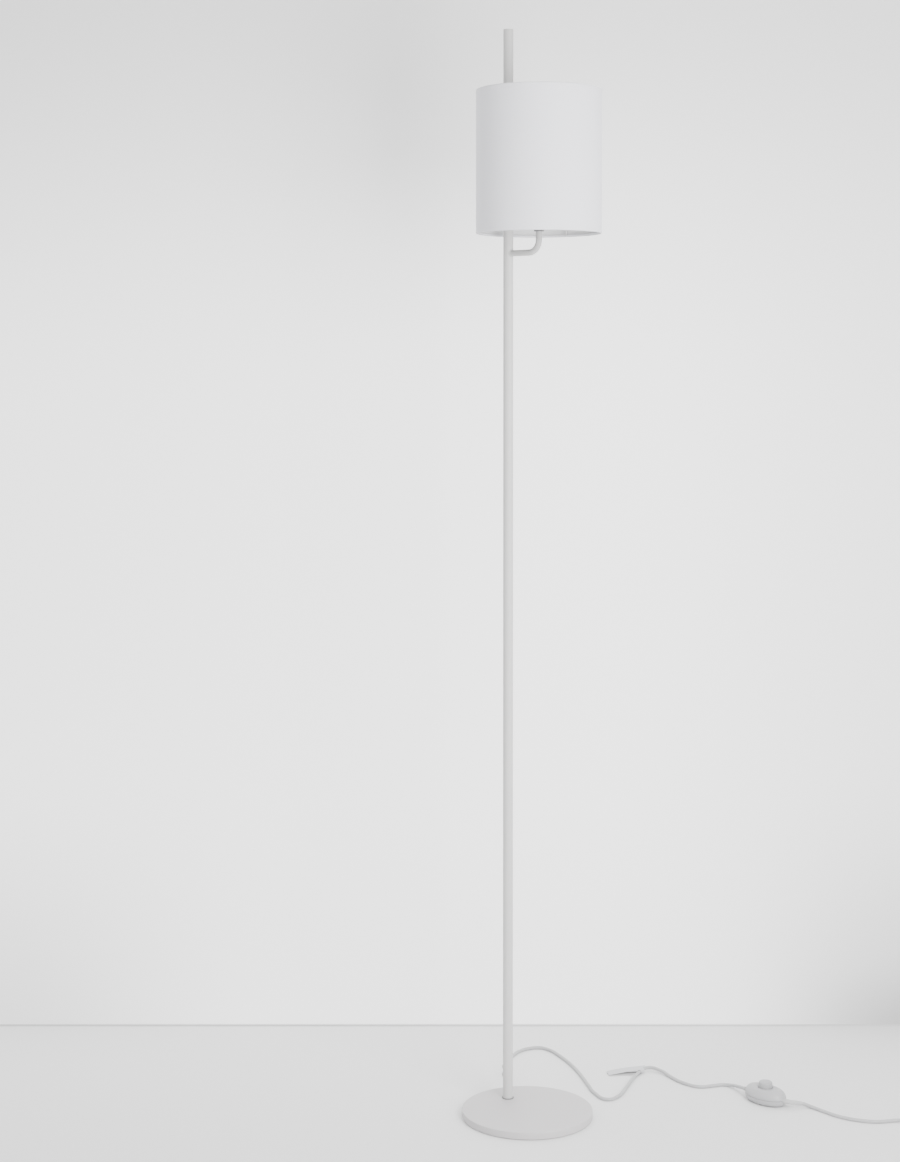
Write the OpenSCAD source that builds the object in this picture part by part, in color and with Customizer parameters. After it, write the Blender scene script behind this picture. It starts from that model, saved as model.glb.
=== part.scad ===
/* [Stand] */
// Diameter of the round base plate
base_d = 208; // [180:1:260]
// Thickness of the base plate
base_t = 11; // [9:0.5:16]
// Radius of the rounded upper edge of the base plate
base_edge_r = 1.2; // [0.4:0.1:2]
// Thickness of the soft pad under the base plate
pad_t = 1; // [0.8:0.1:2]
// How far the pad stays inside the plate's edge
pad_inset = 4; // [2:0.5:8]
// Place of the pole on the base, to the right of the middle
pole_x = -29.5; // [-40:0.5:-20]
// Place of the pole on the base, behind the middle
pole_y = 49; // [35:0.5:60]
// Diameter of the bolt that holds the pole
bolt_d = 8; // [6:1:9]
// Diameter of the bolt's head
bolt_head_d = 14; // [12:0.5:16]
// Height of the bolt's head
bolt_head_h = 4.4; // [3:0.1:5]
// Diameter of the bolt's washer
washer_d = 20; // [17:1:24]
// Thickness of the bolt's washer
washer_t = 1.6; // [1:0.1:2]
// Length of the threaded plug in the foot of the pole
insert_l = 25; // [15:1:28]
// Diameter of the thin ring under the pole
foot_ring_d = 19.5; // [17:0.5:24]
// Thickness of the thin ring under the pole
foot_ring_t = 1; // [0.5:0.1:2]

/* [Pole] */
// Outer diameter of the pole
pole_d = 16; // [15:0.5:20]
// Wall of the pole
pole_wall = 1.2; // [1:0.1:1.6]
// Length of each of the three lower sections
section_l = 439; // [380:1:480]
// Length of the top section
top_section_l = 403.5; // [380:0.5:500]
// Length of the hollow coupling inside each section joint
joint_l = 40; // [20:1:60]
// Bore of the couplings, for the cable
joint_bore_d = 7; // [5:0.5:9]
// Thickness of the cap on the top of the pole
pole_cap_t = 1.5; // [1:0.1:4]
// Depth of the cap's plug in the tube
pole_cap_plug = 8; // [5:1:20]

/* [Arm] */
// Outer diameter of the arm's tube
arm_d = 10; // [8:0.5:11]
// Wall of the arm's tube
arm_wall = 1.2; // [1:0.1:1.6]
// Height of the arm's level stretch above the highest section joint
arm_rise = 46; // [38:0.5:60]
// Distance from the pole's axis to the lamp holder's axis
arm_reach = 62; // [56:0.5:68]
// Direction of the arm from the pole, counted from the right
arm_turn = -40; // [-60:1:-20]
// Radius of the arm's bend
arm_bend_r = 20; // [15:0.5:26]
// Diameter of the weld collar at the arm's root
weld_d = 12.6; // [12:0.1:14]
// Length of the weld collar
weld_l = 2; // [1:0.1:4]
// Width of the lock nut across its flats
nut_af = 14; // [13:0.5:17]
// Thickness of the lock nut
nut_t = 3.5; // [2:0.1:5]
// Height of the lock nut above the lower edge of the shade
nut_rise = 4; // [2:0.5:8]

/* [Lamp holder] */
// Outer diameter of the lamp holder
holder_d = 40; // [38:0.5:44]
// Height of the holder's lower cap
holder_cap_h = 18; // [15:1:22]
// Diameter of the cap's lower end
holder_neck_d = 19; // [16:0.5:24]
// Height of the holder's shell above the cap
holder_shell_h = 36; // [34:0.5:36]
// Wall of the holder
holder_wall = 2; // [1.5:0.1:3]
// Thickness of the ceramic contact carrier
core_t = 8; // [6:0.5:10]
// Height of each clamp ring
clamp_h = 5; // [3:0.5:7]
// Diameter of each clamp ring
clamp_d = 53; // [48:0.5:56]
// Diameter of the bulb's screw cap
screw_d = 26.4; // [26:0.1:26.8]
// Height of the bulb's screw cap
screw_h = 26; // [22:0.5:28]
// Diameter of the bulb's globe
globe_d = 60; // [50:1:65]
// Whole length of the bulb
bulb_l = 110; // [100:1:125]
// Widest diameter of the bulb's housing, where the globe sits
housing_d = 54; // [40:1:56]
// Wall of the bulb's globe and housing
bulb_wall = 1.2; // [0.8:0.1:2]

/* [Shade] */
// Outer diameter of the shade
shade_d = 200; // [180:1:240]
// Height of the shade
shade_h = 228; // [200:1:280]
// Height of the shade's lower edge above the arm's level stretch
shade_rise = 29; // [26:0.5:36]
// Thickness of the fabric cover
fabric_t = 0.5; // [0.4:0.05:0.8]
// Thickness of the stiff lining
liner_t = 0.5; // [0.4:0.05:0.8]
// Wire diameter of the upper and lower rings
ring_wire_d = 2.8; // [2:0.1:4]
// Wire diameter of the spokes
spoke_d = 2.5; // [2:0.1:3.5]
// Direction of the first spoke, counted from the right
spoke_turn = 60; // [40:1:80]
// Number of spokes
spoke_count = 3; // [2:1:4]
// Height of the spokes above the shade's lower edge
spider_rise = 35; // [30:1:40]
// Thickness of the spider's centre ring
spider_ring_t = 1.5; // [1:0.1:2]
// Outer diameter of the spider's centre ring
spider_ring_d = 58; // [57:1:64]
// Height of the edge tapes on the outside
hem_w = 6; // [5:0.5:10]
// Thickness of the edge tapes
hem_t = 0.3; // [0.2:0.05:0.5]
// Width of the overlap strip
seam_w = 10; // [6:0.5:16]
// Thickness of the overlap strip
seam_t = 0.25; // [0.2:0.05:0.5]
// Direction of the overlap strip, counted from the right
seam_turn = 75; // [40:1:120]

/* [Cord] */
// Diameter of the cord
cord_d = 5.4; // [5:0.1:6]
// Diameter of the lead inside the pole and the arm
inner_d = 4.4; // [3:0.1:5]
// Height at which the cord leaves the pole
exit_z = 47; // [44:0.5:60]
// Direction in which the cord leaves the pole, counted from the right
exit_turn = 97; // [80:1:110]
// Diameter of the bush in the pole's wall, outside
bushing_d = 16; // [14:0.5:16]
// Diameter of the bush where it passes the wall
bushing_neck_d = 9.8; // [9:0.1:10.5]
// How far the bush stands out behind the pole
bushing_out = 3; // [2:0.1:5]
// Length of the strain relief behind the bush
relief_l = 22; // [20:1:30]
// Diameter of the strain relief at its thick end
relief_d = 9; // [8:0.1:11]
// Diameter of the strain reliefs at their thin ends
relief_tip_d = 6.4; // [6.2:0.1:7.5]
// Thickness of the paper label
tag_t = 0.5; // [0.3:0.1:1]
// Width of the paper label
tag_w = 16; // [12:0.5:20]
// Length of the paper label
tag_l = 56; // [40:1:75]

/* [Foot switch] */
// Length of the foot switch
switch_l = 75; // [74:0.5:82]
// Width of the foot switch
switch_w = 48; // [46:0.5:54]
// Height of the lower casing, feet left out
lower_h = 9.8; // [9:0.1:11]
// Height of the domed cover
cover_h = 13.5; // [12:0.1:15]
// Wall of the casing
casing_wall = 2; // [1.6:0.1:2.4]
// How far the dome draws in towards its top
dome_inset = 8.5; // [7:0.5:9]
// How far the lower casing draws in towards its underside
undercut = 5; // [3:0.5:7]
// Thickness of the rubber feet
foot_t = 1.2; // [0.8:0.1:2]
// Diameter of the rubber feet
foot_d = 7; // [6:0.5:8]
// Height of the cord's axis where it enters the casing
port_z = 11; // [9:0.1:12]
// Diameter of the strain reliefs inside the casing
port_d = 8.4; // [8:0.1:9]
// Diameter of the button
button_d = 22; // [18:0.5:22]
// How far the button stands above the cover
button_rise = 9.5; // [8:0.5:12]
// Travel of the button
button_travel = 4; // [2:0.5:4.5]
// Radius of the button's rounded upper edge
button_edge_r = 1.6; // [0.5:0.1:3]
// Width of the button's retaining flange
flange_w = 1.8; // [1:0.1:1.8]
// Thickness of the retaining flange
flange_t = 2.5; // [2:0.1:3]
// Mean diameter of the return spring
spring_d = 8; // [7:0.5:9]
// Wire diameter of the return spring
spring_wire_d = 0.8; // [0.5:0.1:1]
// Height of the contact block
block_h = 8; // [6:0.1:9]
// Shank diameter of the casing screws
screw_shank_d = 3; // [2.5:0.1:3.5]

/* [Plug] */
// Width of the plug's body
plug_w = 35; // [33:0.5:37]
// Thickness of the plug's body
plug_t = 14; // [13:0.1:15]
// Length of the plug's body
plug_l = 36; // [30:1:42]
// Diameter of the bare tips of the pins
pin_d = 4; // [3.9:0.01:4.06]
// Length of the bare tips of the pins
pin_tip_l = 9; // [8:0.5:10]
// Length of the insulated stretch of the pins
sleeve_l = 10; // [9:0.5:11]
// Distance between the pins' axes
pin_spacing = 18.6; // [17.5:0.1:19]
// Diameter of the insulated stretch of the pins
pin_sleeve_d = 3.4; // [3.3:0.1:3.5]
// Diameter of the pins under their insulation
pin_core_d = 2.8; // [2.4:0.1:2.8]
// Length of the plug's strain relief
plug_relief_l = 24; // [20:1:30]
// Diameter of the plug's strain relief at the body
plug_relief_d = 11; // [9:0.5:12]

/* [Hidden] */

$fn = 96;
// Clearance between pieces that plug into each other
fit_gap = 0.05;
// Room round the moving button
button_gap = 0.3;

// Stand
base_top = pad_t + base_t;
recess_play = 1;
bolt_play = 0.25;
recess_top = pad_t + bolt_head_h + washer_t + 0.2;
pole_bottom = base_top + foot_ring_t;
pole_r = pole_d / 2;
pole_bore_r = pole_r - pole_wall;

// Pole joints, from the foot up
joint_1 = pole_bottom + section_l;
joint_2 = joint_1 + section_l;
joint_3 = joint_2 + section_l;
tube_top = joint_3 + top_section_l;

// Heights that the highest joint carries up with it
arm_z = joint_3 + arm_rise;
shade_z = arm_z + shade_rise;

// Arm and holder
arm_r = arm_d / 2;
arm_bore_r = arm_r - arm_wall;
holder_x = pole_x + arm_reach * cos(arm_turn);
holder_y = pole_y + arm_reach * sin(arm_turn);
nut_z = shade_z + nut_rise;
holder_z = nut_z + nut_t;
thread_in = 10;
arm_top = holder_z + thread_in;
neck_solid = 9;
core_z = holder_z + holder_cap_h - 4;
core_top = core_z + core_t;
holder_r = holder_d / 2;
spider_z = shade_z + spider_rise;
contact_t = 0.6;
contact_bump = 1;
eyelet_z = core_top + contact_t + contact_bump;
eyelet_t = 1.5;
screw_z = eyelet_z + eyelet_t;
screw_top = screw_z + screw_h;
globe_z = eyelet_z + bulb_l - globe_d / 2;
globe_cut = globe_z - sqrt(pow(globe_d / 2, 2) - pow(housing_d / 2, 2));

// Shade, from the outside in
shade_r = shade_d / 2;
liner_r = shade_r - fabric_t;
lining_in_r = liner_r - liner_t;
wire_r = ring_wire_d / 2;
ring_r = lining_in_r - wire_r;
hem_in_r = ring_r - wire_r - hem_t;
shade_top = shade_z + shade_h;
drop_r = hem_in_r - spoke_d / 2;

// Cord
cord_r = cord_d / 2;
inner_r = inner_d / 2;
bend_in = 4;
bend_out = 5;
bushing_in = 5.5;
floor_z = 2.7;

// Foot switch: its middle on the floor and the direction of its long axis
switch_x = 389.5;
switch_y = 63.5;
switch_turn = -46;
function on_switch(along, z) =
  [switch_x + along * cos(switch_turn), switch_y + along * sin(switch_turn), z];

// Route from the strain relief to the foot switch, measured on the floor; the ends are straight
relief_far = pole_r + bushing_out + relief_l;
relief_in_out = 6;
relief_in_l = 21;
lamp_route = [
  [-34.2, 87.1, 47], [-34.8, 101, 45], [-34.2, 118, 40], [-32.6, 136, 31.8], [-30.5, 154, 22.5],
  [-28.5, 173, 12.8], [-26.5, 193, 6], [-25, 214, 3.1], [-24, 236, 2.7], [-21.5, 259, 2.7],
  [-14, 281, 2.7], [-2, 302, 2.7], [14, 316, 2.7], [34, 320.5, 2.7], [51, 307.5, 2.7],
  [64, 283.5, 2.7], [76.5, 253.5, 2.7], [89, 215, 2.7], [98, 177, 2.7], [106, 135, 2.7],
  [115.5, 93, 2.7], [133, 67, 2.7], [150.5, 80, 2.7], [166, 116, 2.7], [181, 159, 2.9],
  [195, 189, 4.3], [213, 209, 6.1], [232, 198, 5.2], [247, 172.5, 3], [265, 144, 2.7],
  [290, 126, 2.7], [315, 131.5, 2.7], [330, 135.3, 2.8], [341, 130.5, 3.7],
  [347.5, 120.5, 6.2], [351.2, 109, 8.9], on_switch(-switch_l / 2 - relief_in_out - cord_d, port_z)
];

split_z = foot_t + lower_h;
cover_top = split_z + cover_h;
// Outline of the casing: share of the height and share of the draw-in, at each level
dome_levels = [[0, 0], [0.43, 0.19], [0.77, 0.54], [1, 1]];
belly_levels = [[0, 1], [0.36, 0.24], [1, 0]];
button_r = button_d / 2;
flange_top = cover_top - casing_wall - button_gap;
button_top = cover_top + button_rise;
block_z = foot_t + casing_wall;
block_top = block_z + block_h;
pocket_r = spring_d / 2 + spring_wire_d / 2 + 1.2;
pocket_top = button_top - 5;
screw_places = [[17, -12.5], [-17, 12.5]];
feet_places = [[21, 8], [-21, -8], [3, -14.5], [-3, 14.5]];

// Second strain relief: straight out of the casing, then bent towards the plug
relief_bend = [
  on_switch(switch_l / 2 - 0.5, port_z), [420.3, 33.3, 10.9], [426.2, 32.3, 10.3], [432, 33.8, 9.3],
  [437.5, 36, 8], [442.8, 37.4, 6.7]
];
relief_heading = [5.3, 1.4, -1.3] / norm([5.3, 1.4, -1.3]);

// Route from the foot switch to the coil
plug_route = [
  relief_bend[5] + cord_d * relief_heading, [456, 34, 3.7], [465.5, 24.5, 2.8], [477, 11, 2.7],
  [489, -3.5, 2.7], [505, -16.5, 2.7], [528, -27.5, 2.7], [552, -31.8, 2.7], [575, -27.6, 2.7],
  [600, -23.6, 2.7], [618, -22.2, 2.7], [634.2, -22, 2.7]
];

// Coil: a spiral in, half a turn of climbing, and a spiral out on top of it
coil_x = 645;
coil_y = 14;
coil_out_r = 36;
coil_step = 6;
coil_lift = 6;
coil_from = -90;
coil_turn_back = 720;
coil_to = 1440;
rings_per_loop = 24;
function coil_radius(a) = coil_out_r
  - coil_step * (min(a, coil_turn_back) - coil_from) / 360
  + coil_step * max(0, a - coil_turn_back) / 360;
function coil_climb(a) = coil_lift * (1 - cos(min(180, max(0, a - coil_turn_back + 90)))) / 2;
function coil_point(a) = [
  coil_x + coil_radius(a) * cos(a), coil_y + coil_radius(a) * sin(a), floor_z + coil_climb(a)
];
coil_end = coil_point(coil_to);
coil_path = concat(
  [[coil_x - cord_d, coil_y - coil_out_r, floor_z]],
  [for (a = [coil_from : 360 / rings_per_loop : coil_to]) coil_point(a)],
  [coil_end + [0, cord_d, 0]]
);
function self_gap(p, skip) = min([
  for (i = [0 : len(p) - 1 - skip]) min([for (j = [i + skip : len(p) - 1]) norm(p[i] - p[j])])
]) - cord_d;
echo(coil_least_gap = self_gap(coil_path, rings_per_loop / 2));

// Plug: the axis of its cord, and where its strain relief starts
plug_x = coil_end[0];
plug_y = 60;
plug_body_y = plug_y + plug_relief_l;
plug_face_y = plug_body_y + plug_l;
plug_z = plug_t / 2;
tail_route = [
  coil_end + [0, cord_d, 0], [plug_x, 32, 8.5], [plug_x, 44, 7.6], [plug_x, 53, 7], [plug_x, plug_y, 7]
];

// A smooth line through the chosen points, with steps points for each stretch
function held(p, i) = i < 0 ? 2 * p[0] - p[1]
  : i > len(p) - 1 ? 2 * p[len(p) - 1] - p[len(p) - 2]
  : p[i];
function blend(a, b, c, d, t) = 0.5 * (2 * b + (c - a) * t
  + (2 * a - 5 * b + 4 * c - d) * t * t + (3 * b - a - 3 * c + d) * t * t * t);
function smooth(p, steps) = [
  for (i = [0 : len(p) - 2])
    for (k = [0 : steps - 1]) blend(held(p, i - 1), p[i], p[i + 1], held(p, i + 2), k / steps),
  p[len(p) - 1]
];
function unit(v) = v / norm(v);
function heading(p, i) = unit(held(p, i + 1) - held(p, i - 1));

// A tube of flat sides along a line of points; its radius goes from r at the start to r_end
module swept(p, r, r_end, sides) {
  n = len(p);
  points = [
    for (i = [0 : n - 1])
      let (
        t = heading(p, i),
        s = unit(cross(t, [0, 0, 1])),
        u = cross(s, t),
        w = r + (r_end - r) * i / (n - 1)
      )
      for (k = [0 : sides - 1])
        p[i] + w * (cos(360 * (k + 0.5) / sides) * s + sin(360 * (k + 0.5) / sides) * u)
  ];
  walls = [
    for (i = [0 : n - 2])
      for (k = [0 : sides - 1])
        let (a = i * sides + k, b = i * sides + (k + 1) % sides)
        for (f = [[a, a + sides, b], [b, a + sides, b + sides]]) f
  ];
  first = [for (k = [1 : sides - 2]) [0, k, k + 1]];
  last = [for (k = [1 : sides - 2]) [(n - 1) * sides, (n - 1) * sides + k + 1, (n - 1) * sides + k]];
  polyhedron(points = points, faces = concat(walls, first, last), convexity = 8);
}

module at_pole(turn) {
  translate([pole_x, pole_y, 0]) rotate([0, 0, turn]) children();
}

module at_holder() {
  translate([holder_x, holder_y, 0]) children();
}

module at_switch() {
  translate([switch_x, switch_y, 0]) rotate([0, 0, switch_turn]) children();
}

module ring(outer_r, inner_r, z, h) {
  translate([0, 0, z]) difference() {
    cylinder(r = outer_r, h = h);
    translate([0, 0, -1]) cylinder(r = inner_r, h = h + 2);
  }
}

// A round bar along X, from x1 to x2
module bar(x1, x2, r, z) {
  translate([x1, 0, z]) rotate([0, 90, 0]) cylinder(r = r, h = x2 - x1);
}

// A quarter bend in the XZ plane round the point (x, z), counted from the angle start
module quarter(x, z, bend, r, start) {
  translate([x, 0, z]) rotate([90, 0, 0]) rotate([0, 0, start])
    rotate_extrude(angle = 90) translate([bend, 0]) circle(r = r, $fn = 48);
}

// The arm's line as a bar of any radius: level from x1, bent, then up to z2
module arm_line(x1, z2, r) {
  bar(x1, arm_reach - arm_bend_r, r, arm_z);
  quarter(arm_reach - arm_bend_r, arm_z + arm_bend_r, arm_bend_r, r, -90);
  translate([arm_reach, 0, arm_z + arm_bend_r]) cylinder(r = r, h = z2 - arm_z - arm_bend_r);
}

module base_plate() {
  color("gainsboro") difference() {
    translate([0, 0, pad_t]) rotate_extrude($fn = 180) {
      square([base_d / 2 - base_edge_r, base_t]);
      square([base_d / 2, base_t - base_edge_r]);
      translate([base_d / 2 - base_edge_r, base_t - base_edge_r]) circle(r = base_edge_r);
    }
    at_pole(0) {
      translate([0, 0, -1]) cylinder(r = bolt_d / 2 + bolt_play, h = base_top + 2);
      translate([0, 0, -1]) cylinder(r = washer_d / 2 + recess_play, h = recess_top + 1);
    }
  }
}

module base_pad() {
  color("dimgray") difference() {
    cylinder(r = base_d / 2 - pad_inset, h = pad_t, $fn = 180);
    at_pole(0) translate([0, 0, -1]) cylinder(r = washer_d / 2 + recess_play, h = pad_t + 2);
  }
}

module base_bolt() {
  head_z = recess_top - washer_t - bolt_head_h;
  color("silver") at_pole(0) difference() {
    union() {
      translate([0, 0, head_z]) cylinder(r = bolt_head_d / 2, h = bolt_head_h);
      translate([0, 0, head_z]) cylinder(r = bolt_d / 2, h = pole_bottom + insert_l - 5 - head_z);
    }
    translate([0, 0, head_z - 1]) cylinder(d = bolt_d * 0.8, h = 1 + bolt_head_h * 0.7, $fn = 6);
  }
}

module base_washer() {
  color("silver") at_pole(0)
    ring(washer_d / 2, bolt_d / 2 + bolt_play, recess_top - washer_t, washer_t);
}

module foot_insert() {
  color("silver") at_pole(0)
    ring(pole_bore_r - fit_gap, bolt_d / 2 + fit_gap, pole_bottom, insert_l);
}

module foot_ring() {
  color("gray") at_pole(0) ring(foot_ring_d / 2, bolt_d / 2 + bolt_play, base_top, foot_ring_t);
}

module pole_lower() {
  color("whitesmoke") difference() {
    at_pole(0) ring(pole_r, pole_bore_r, pole_bottom, section_l);
    at_pole(exit_turn) bar(0, pole_d, bushing_neck_d / 2 + fit_gap, exit_z);
  }
}

module pole_second() {
  color("whitesmoke") at_pole(0) ring(pole_r, pole_bore_r, joint_1, section_l);
}

module pole_third() {
  color("whitesmoke") at_pole(0) ring(pole_r, pole_bore_r, joint_2, section_l);
}

module pole_upper() {
  color("whitesmoke") difference() {
    at_pole(0) ring(pole_r, pole_bore_r, joint_3, top_section_l);
    at_pole(arm_turn) bar(0, pole_d, arm_bore_r, arm_z);
  }
}

module coupling(z) {
  color("silver") at_pole(0) ring(pole_bore_r - fit_gap, joint_bore_d / 2, z - joint_l / 2, joint_l);
}

module pole_joint_low() {
  coupling(joint_1);
}

module pole_joint_mid() {
  coupling(joint_2);
}

module pole_joint_high() {
  coupling(joint_3);
}

module pole_cap() {
  color("whitesmoke") at_pole(0) {
    translate([0, 0, tube_top]) cylinder(r = pole_r, h = pole_cap_t);
    translate([0, 0, tube_top - pole_cap_plug]) cylinder(r = pole_bore_r - fit_gap, h = pole_cap_plug);
  }
}

module arm() {
  color("whitesmoke") at_pole(arm_turn) difference() {
    arm_line(0, arm_top, arm_r);
    arm_line(-1, arm_top + 1, arm_bore_r);
    translate([0, 0, arm_z - arm_d]) cylinder(r = pole_r + fit_gap, h = 2 * arm_d);
  }
}

module arm_weld() {
  color("whitesmoke") at_pole(arm_turn) difference() {
    bar(0, pole_r + weld_l, weld_d / 2, arm_z);
    bar(-1, pole_d, arm_r + fit_gap, arm_z);
    translate([0, 0, arm_z - arm_d]) cylinder(r = pole_r + fit_gap, h = 2 * arm_d);
  }
}

module arm_locknut() {
  color("silver") at_holder() translate([0, 0, nut_z]) difference() {
    cylinder(d = nut_af / cos(30), h = nut_t, $fn = 6);
    translate([0, 0, -1]) cylinder(r = arm_r + fit_gap, h = nut_t + 2);
  }
}

module holder_cap() {
  bore = arm_r + fit_gap;
  ledge = holder_cap_h - 4;
  inside = holder_r - holder_wall;
  color("white") at_holder() translate([0, 0, holder_z]) rotate_extrude() polygon([
    [bore, 0], [holder_neck_d / 2, 0], [holder_r, ledge], [holder_r, holder_cap_h],
    [inside, holder_cap_h], [inside, ledge], [inside - 3, ledge], [inside - 6, neck_solid],
    [bore, neck_solid]
  ]);
}

module holder_shell() {
  color("white") at_holder() translate([0, 0, holder_z + holder_cap_h]) difference() {
    cylinder(r = holder_r, h = holder_shell_h);
    translate([0, 0, -1]) cylinder(r = holder_r - holder_wall, h = holder_shell_h - 2);
    translate([0, 0, -1]) cylinder(r = screw_d / 2 + 2.5, h = holder_shell_h + 2);
  }
}

module holder_insulator() {
  color("ivory") at_holder() translate([0, 0, core_z])
    cylinder(r = holder_r - holder_wall - button_gap, h = core_t);
}

module holder_sleeve() {
  color("goldenrod") at_holder() ring(screw_d / 2 + 1, screw_d / 2 + 0.3, core_top, 22);
}

module holder_contact() {
  color("goldenrod") at_holder() translate([0, 0, core_top]) {
    translate([-8, -2.5, 0]) cube([16, 5, contact_t]);
    cylinder(r = 2.5, h = contact_t + contact_bump);
  }
}

module clamp_ring_lower() {
  color("white") at_holder()
    ring(clamp_d / 2, holder_r + fit_gap, spider_z - spider_ring_t / 2 - clamp_h, clamp_h);
}

module clamp_ring_upper() {
  color("white") at_holder()
    ring(clamp_d / 2, holder_r + fit_gap, spider_z + spider_ring_t / 2, clamp_h);
}

module bulb_cap() {
  color("silver") at_holder() {
    translate([0, 0, screw_z]) cylinder(r1 = 6, r2 = screw_d / 2, h = 5);
    translate([0, 0, screw_z + 5]) cylinder(r = screw_d / 2, h = screw_h - 5);
  }
}

module bulb_eyelet() {
  color("goldenrod") at_holder() translate([0, 0, eyelet_z]) cylinder(r = 4.5, h = eyelet_t);
}

module bulb_housing() {
  color("white") at_holder() difference() {
    translate([0, 0, screw_top])
      cylinder(r1 = screw_d / 2 + 1, r2 = housing_d / 2, h = globe_cut - screw_top);
    translate([0, 0, screw_top + bulb_wall])
      cylinder(r1 = screw_d / 2 + 1 - bulb_wall, r2 = housing_d / 2 - bulb_wall,
        h = globe_cut - screw_top - bulb_wall);
  }
}

module bulb_globe() {
  color("white") at_holder() difference() {
    translate([0, 0, globe_z]) sphere(d = globe_d);
    translate([0, 0, globe_z]) sphere(r = globe_d / 2 - bulb_wall);
    translate([0, 0, globe_cut - globe_d]) cylinder(r = globe_d, h = globe_d);
  }
}

module shade_spider() {
  color("whitesmoke") at_holder() {
    ring(spider_ring_d / 2, holder_r + button_gap, spider_z - spider_ring_t / 2, spider_ring_t);
    for (k = [0 : spoke_count - 1]) rotate([0, 0, spoke_turn + 360 * k / spoke_count]) {
      bar(spider_ring_d / 2 - 1, drop_r, spoke_d / 2, spider_z);
      translate([drop_r, 0, spider_z]) sphere(d = spoke_d, $fn = 32);
      translate([drop_r, 0, shade_z + hem_t]) cylinder(d = spoke_d, h = spider_z - shade_z - hem_t);
    }
  }
}

module wire_ring(z) {
  color("whitesmoke") at_holder() translate([0, 0, z])
    rotate_extrude($fn = 180) translate([ring_r, 0]) circle(r = wire_r, $fn = 32);
}

module shade_bottom_ring() {
  wire_ring(shade_z + hem_t + wire_r);
}

module shade_top_ring() {
  wire_ring(shade_top - hem_t - wire_r);
}

module shade_liner() {
  color("white") at_holder() ring(liner_r, lining_in_r, shade_z + hem_t, shade_h - 2 * hem_t, $fn = 180);
}

module shade_fabric() {
  color("white") at_holder() ring(shade_r, liner_r, shade_z + hem_t, shade_h - 2 * hem_t, $fn = 180);
}

module shade_seam() {
  span = 360 * seam_w / (PI * shade_d);
  color("white") at_holder() translate([0, 0, shade_z + hem_w])
    rotate([0, 0, seam_turn - span / 2]) rotate_extrude(angle = span, $fn = 180)
      translate([shade_r, 0]) square([seam_t, shade_h - 2 * hem_w]);
}

// Edge tape: down the outside, over the edge, and round the wire ring
module hem_profile() {
  translate([shade_r, 0]) square([hem_t, hem_w]);
  translate([hem_in_r, 0]) square([shade_r + hem_t - hem_in_r, hem_t]);
  translate([hem_in_r, 0]) square([hem_t, ring_wire_d + hem_t]);
}

module hem_bottom() {
  color("white") at_holder() translate([0, 0, shade_z]) rotate_extrude($fn = 180) hem_profile();
}

module hem_top() {
  color("white") at_holder() translate([0, 0, shade_top]) mirror([0, 0, 1])
    rotate_extrude($fn = 180) hem_profile();
}

module inner_cable() {
  color("lightgray") {
    at_pole(exit_turn) {
      bar(bend_in, bushing_in, inner_r, exit_z);
      quarter(bend_in, exit_z + bend_in, bend_in, inner_r, 180);
      translate([0, 0, exit_z + bend_in]) cylinder(r = inner_r, h = 60);
    }
    at_pole(arm_turn) {
      translate([0, 0, exit_z + 40]) cylinder(r = inner_r, h = arm_z - bend_out - exit_z - 40);
      quarter(bend_out, arm_z - bend_out, bend_out, inner_r, 90);
      arm_line(bend_out, core_z, inner_r);
    }
  }
}

module cord_bushing() {
  color("white") at_pole(exit_turn) difference() {
    union() {
      bar(pole_r - 1.5, pole_r + bushing_out, bushing_d / 2, exit_z);
      bar(bushing_in, pole_r, bushing_neck_d / 2, exit_z);
    }
    bar(0, pole_d, relief_d / 2 - 0.9 + fit_gap, exit_z);
    difference() {
      translate([0, 0, exit_z - bushing_d]) cylinder(r = pole_r + fit_gap, h = 2 * bushing_d);
      bar(0, pole_d, bushing_neck_d / 2, exit_z);
    }
  }
}

module cord_relief() {
  out = pole_r + bushing_out;
  color("white") at_pole(exit_turn) {
    bar(bushing_in, out, relief_d / 2 - 0.9, exit_z);
    translate([out, 0, exit_z]) rotate([0, 90, 0])
      cylinder(r1 = relief_d / 2, r2 = relief_tip_d / 2, h = relief_l);
  }
}

module cord_lamp_run() {
  from = [pole_x + relief_far * cos(exit_turn), pole_y + relief_far * sin(exit_turn), exit_z];
  to = on_switch(-switch_l / 2 - relief_in_out, port_z);
  color("whitesmoke") swept(concat([from], smooth(lamp_route, 2), [to]), cord_r, cord_r, 8);
}

// Label folded round the cord: a sleeve that the cord passes through, and a flat flag aslant to it
module cord_tag() {
  sleeve_r = cord_r + 0.6;
  flag_turn = 133;
  color("white") translate([199.3, 195.3, 4.8]) rotate([3, -3.9, 55.3]) {
    difference() {
      rotate([0, 90, 0]) cylinder(r = sleeve_r + tag_t, h = 8, center = true, $fn = 48);
      rotate([0, 90, 0]) cylinder(r = sleeve_r, h = 10, center = true, $fn = 48);
    }
    translate([0, 0, -tag_t / 2]) linear_extrude(tag_t) difference() {
      rotate(flag_turn) translate([-20, 2 - tag_w]) square([20 + tag_l, tag_w]);
      translate([-40, sleeve_r + 0.2 - 80]) square(80);
    }
  }
}

module oval(z, inset) {
  translate([0, 0, z]) linear_extrude(0.01) scale([switch_l / 2 - inset, switch_w / 2 - inset])
    circle(r = 1, $fn = 40);
}

// Domed body of the cover; less draws it in for the hollow
module dome(less) {
  hull() for (level = dome_levels)
    oval(split_z + max(0, level[0] * cover_h - less) - (less > 0 && level[0] == 0 ? 1 : 0.01),
      level[1] * dome_inset + less);
}

module belly(less) {
  hull() for (level = belly_levels)
    oval(foot_t + max(less, level[0] * lower_h) + (level[0] < 1 ? 0 : less > 0 ? 1 : -0.01),
      level[1] * undercut + less);
}

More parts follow.
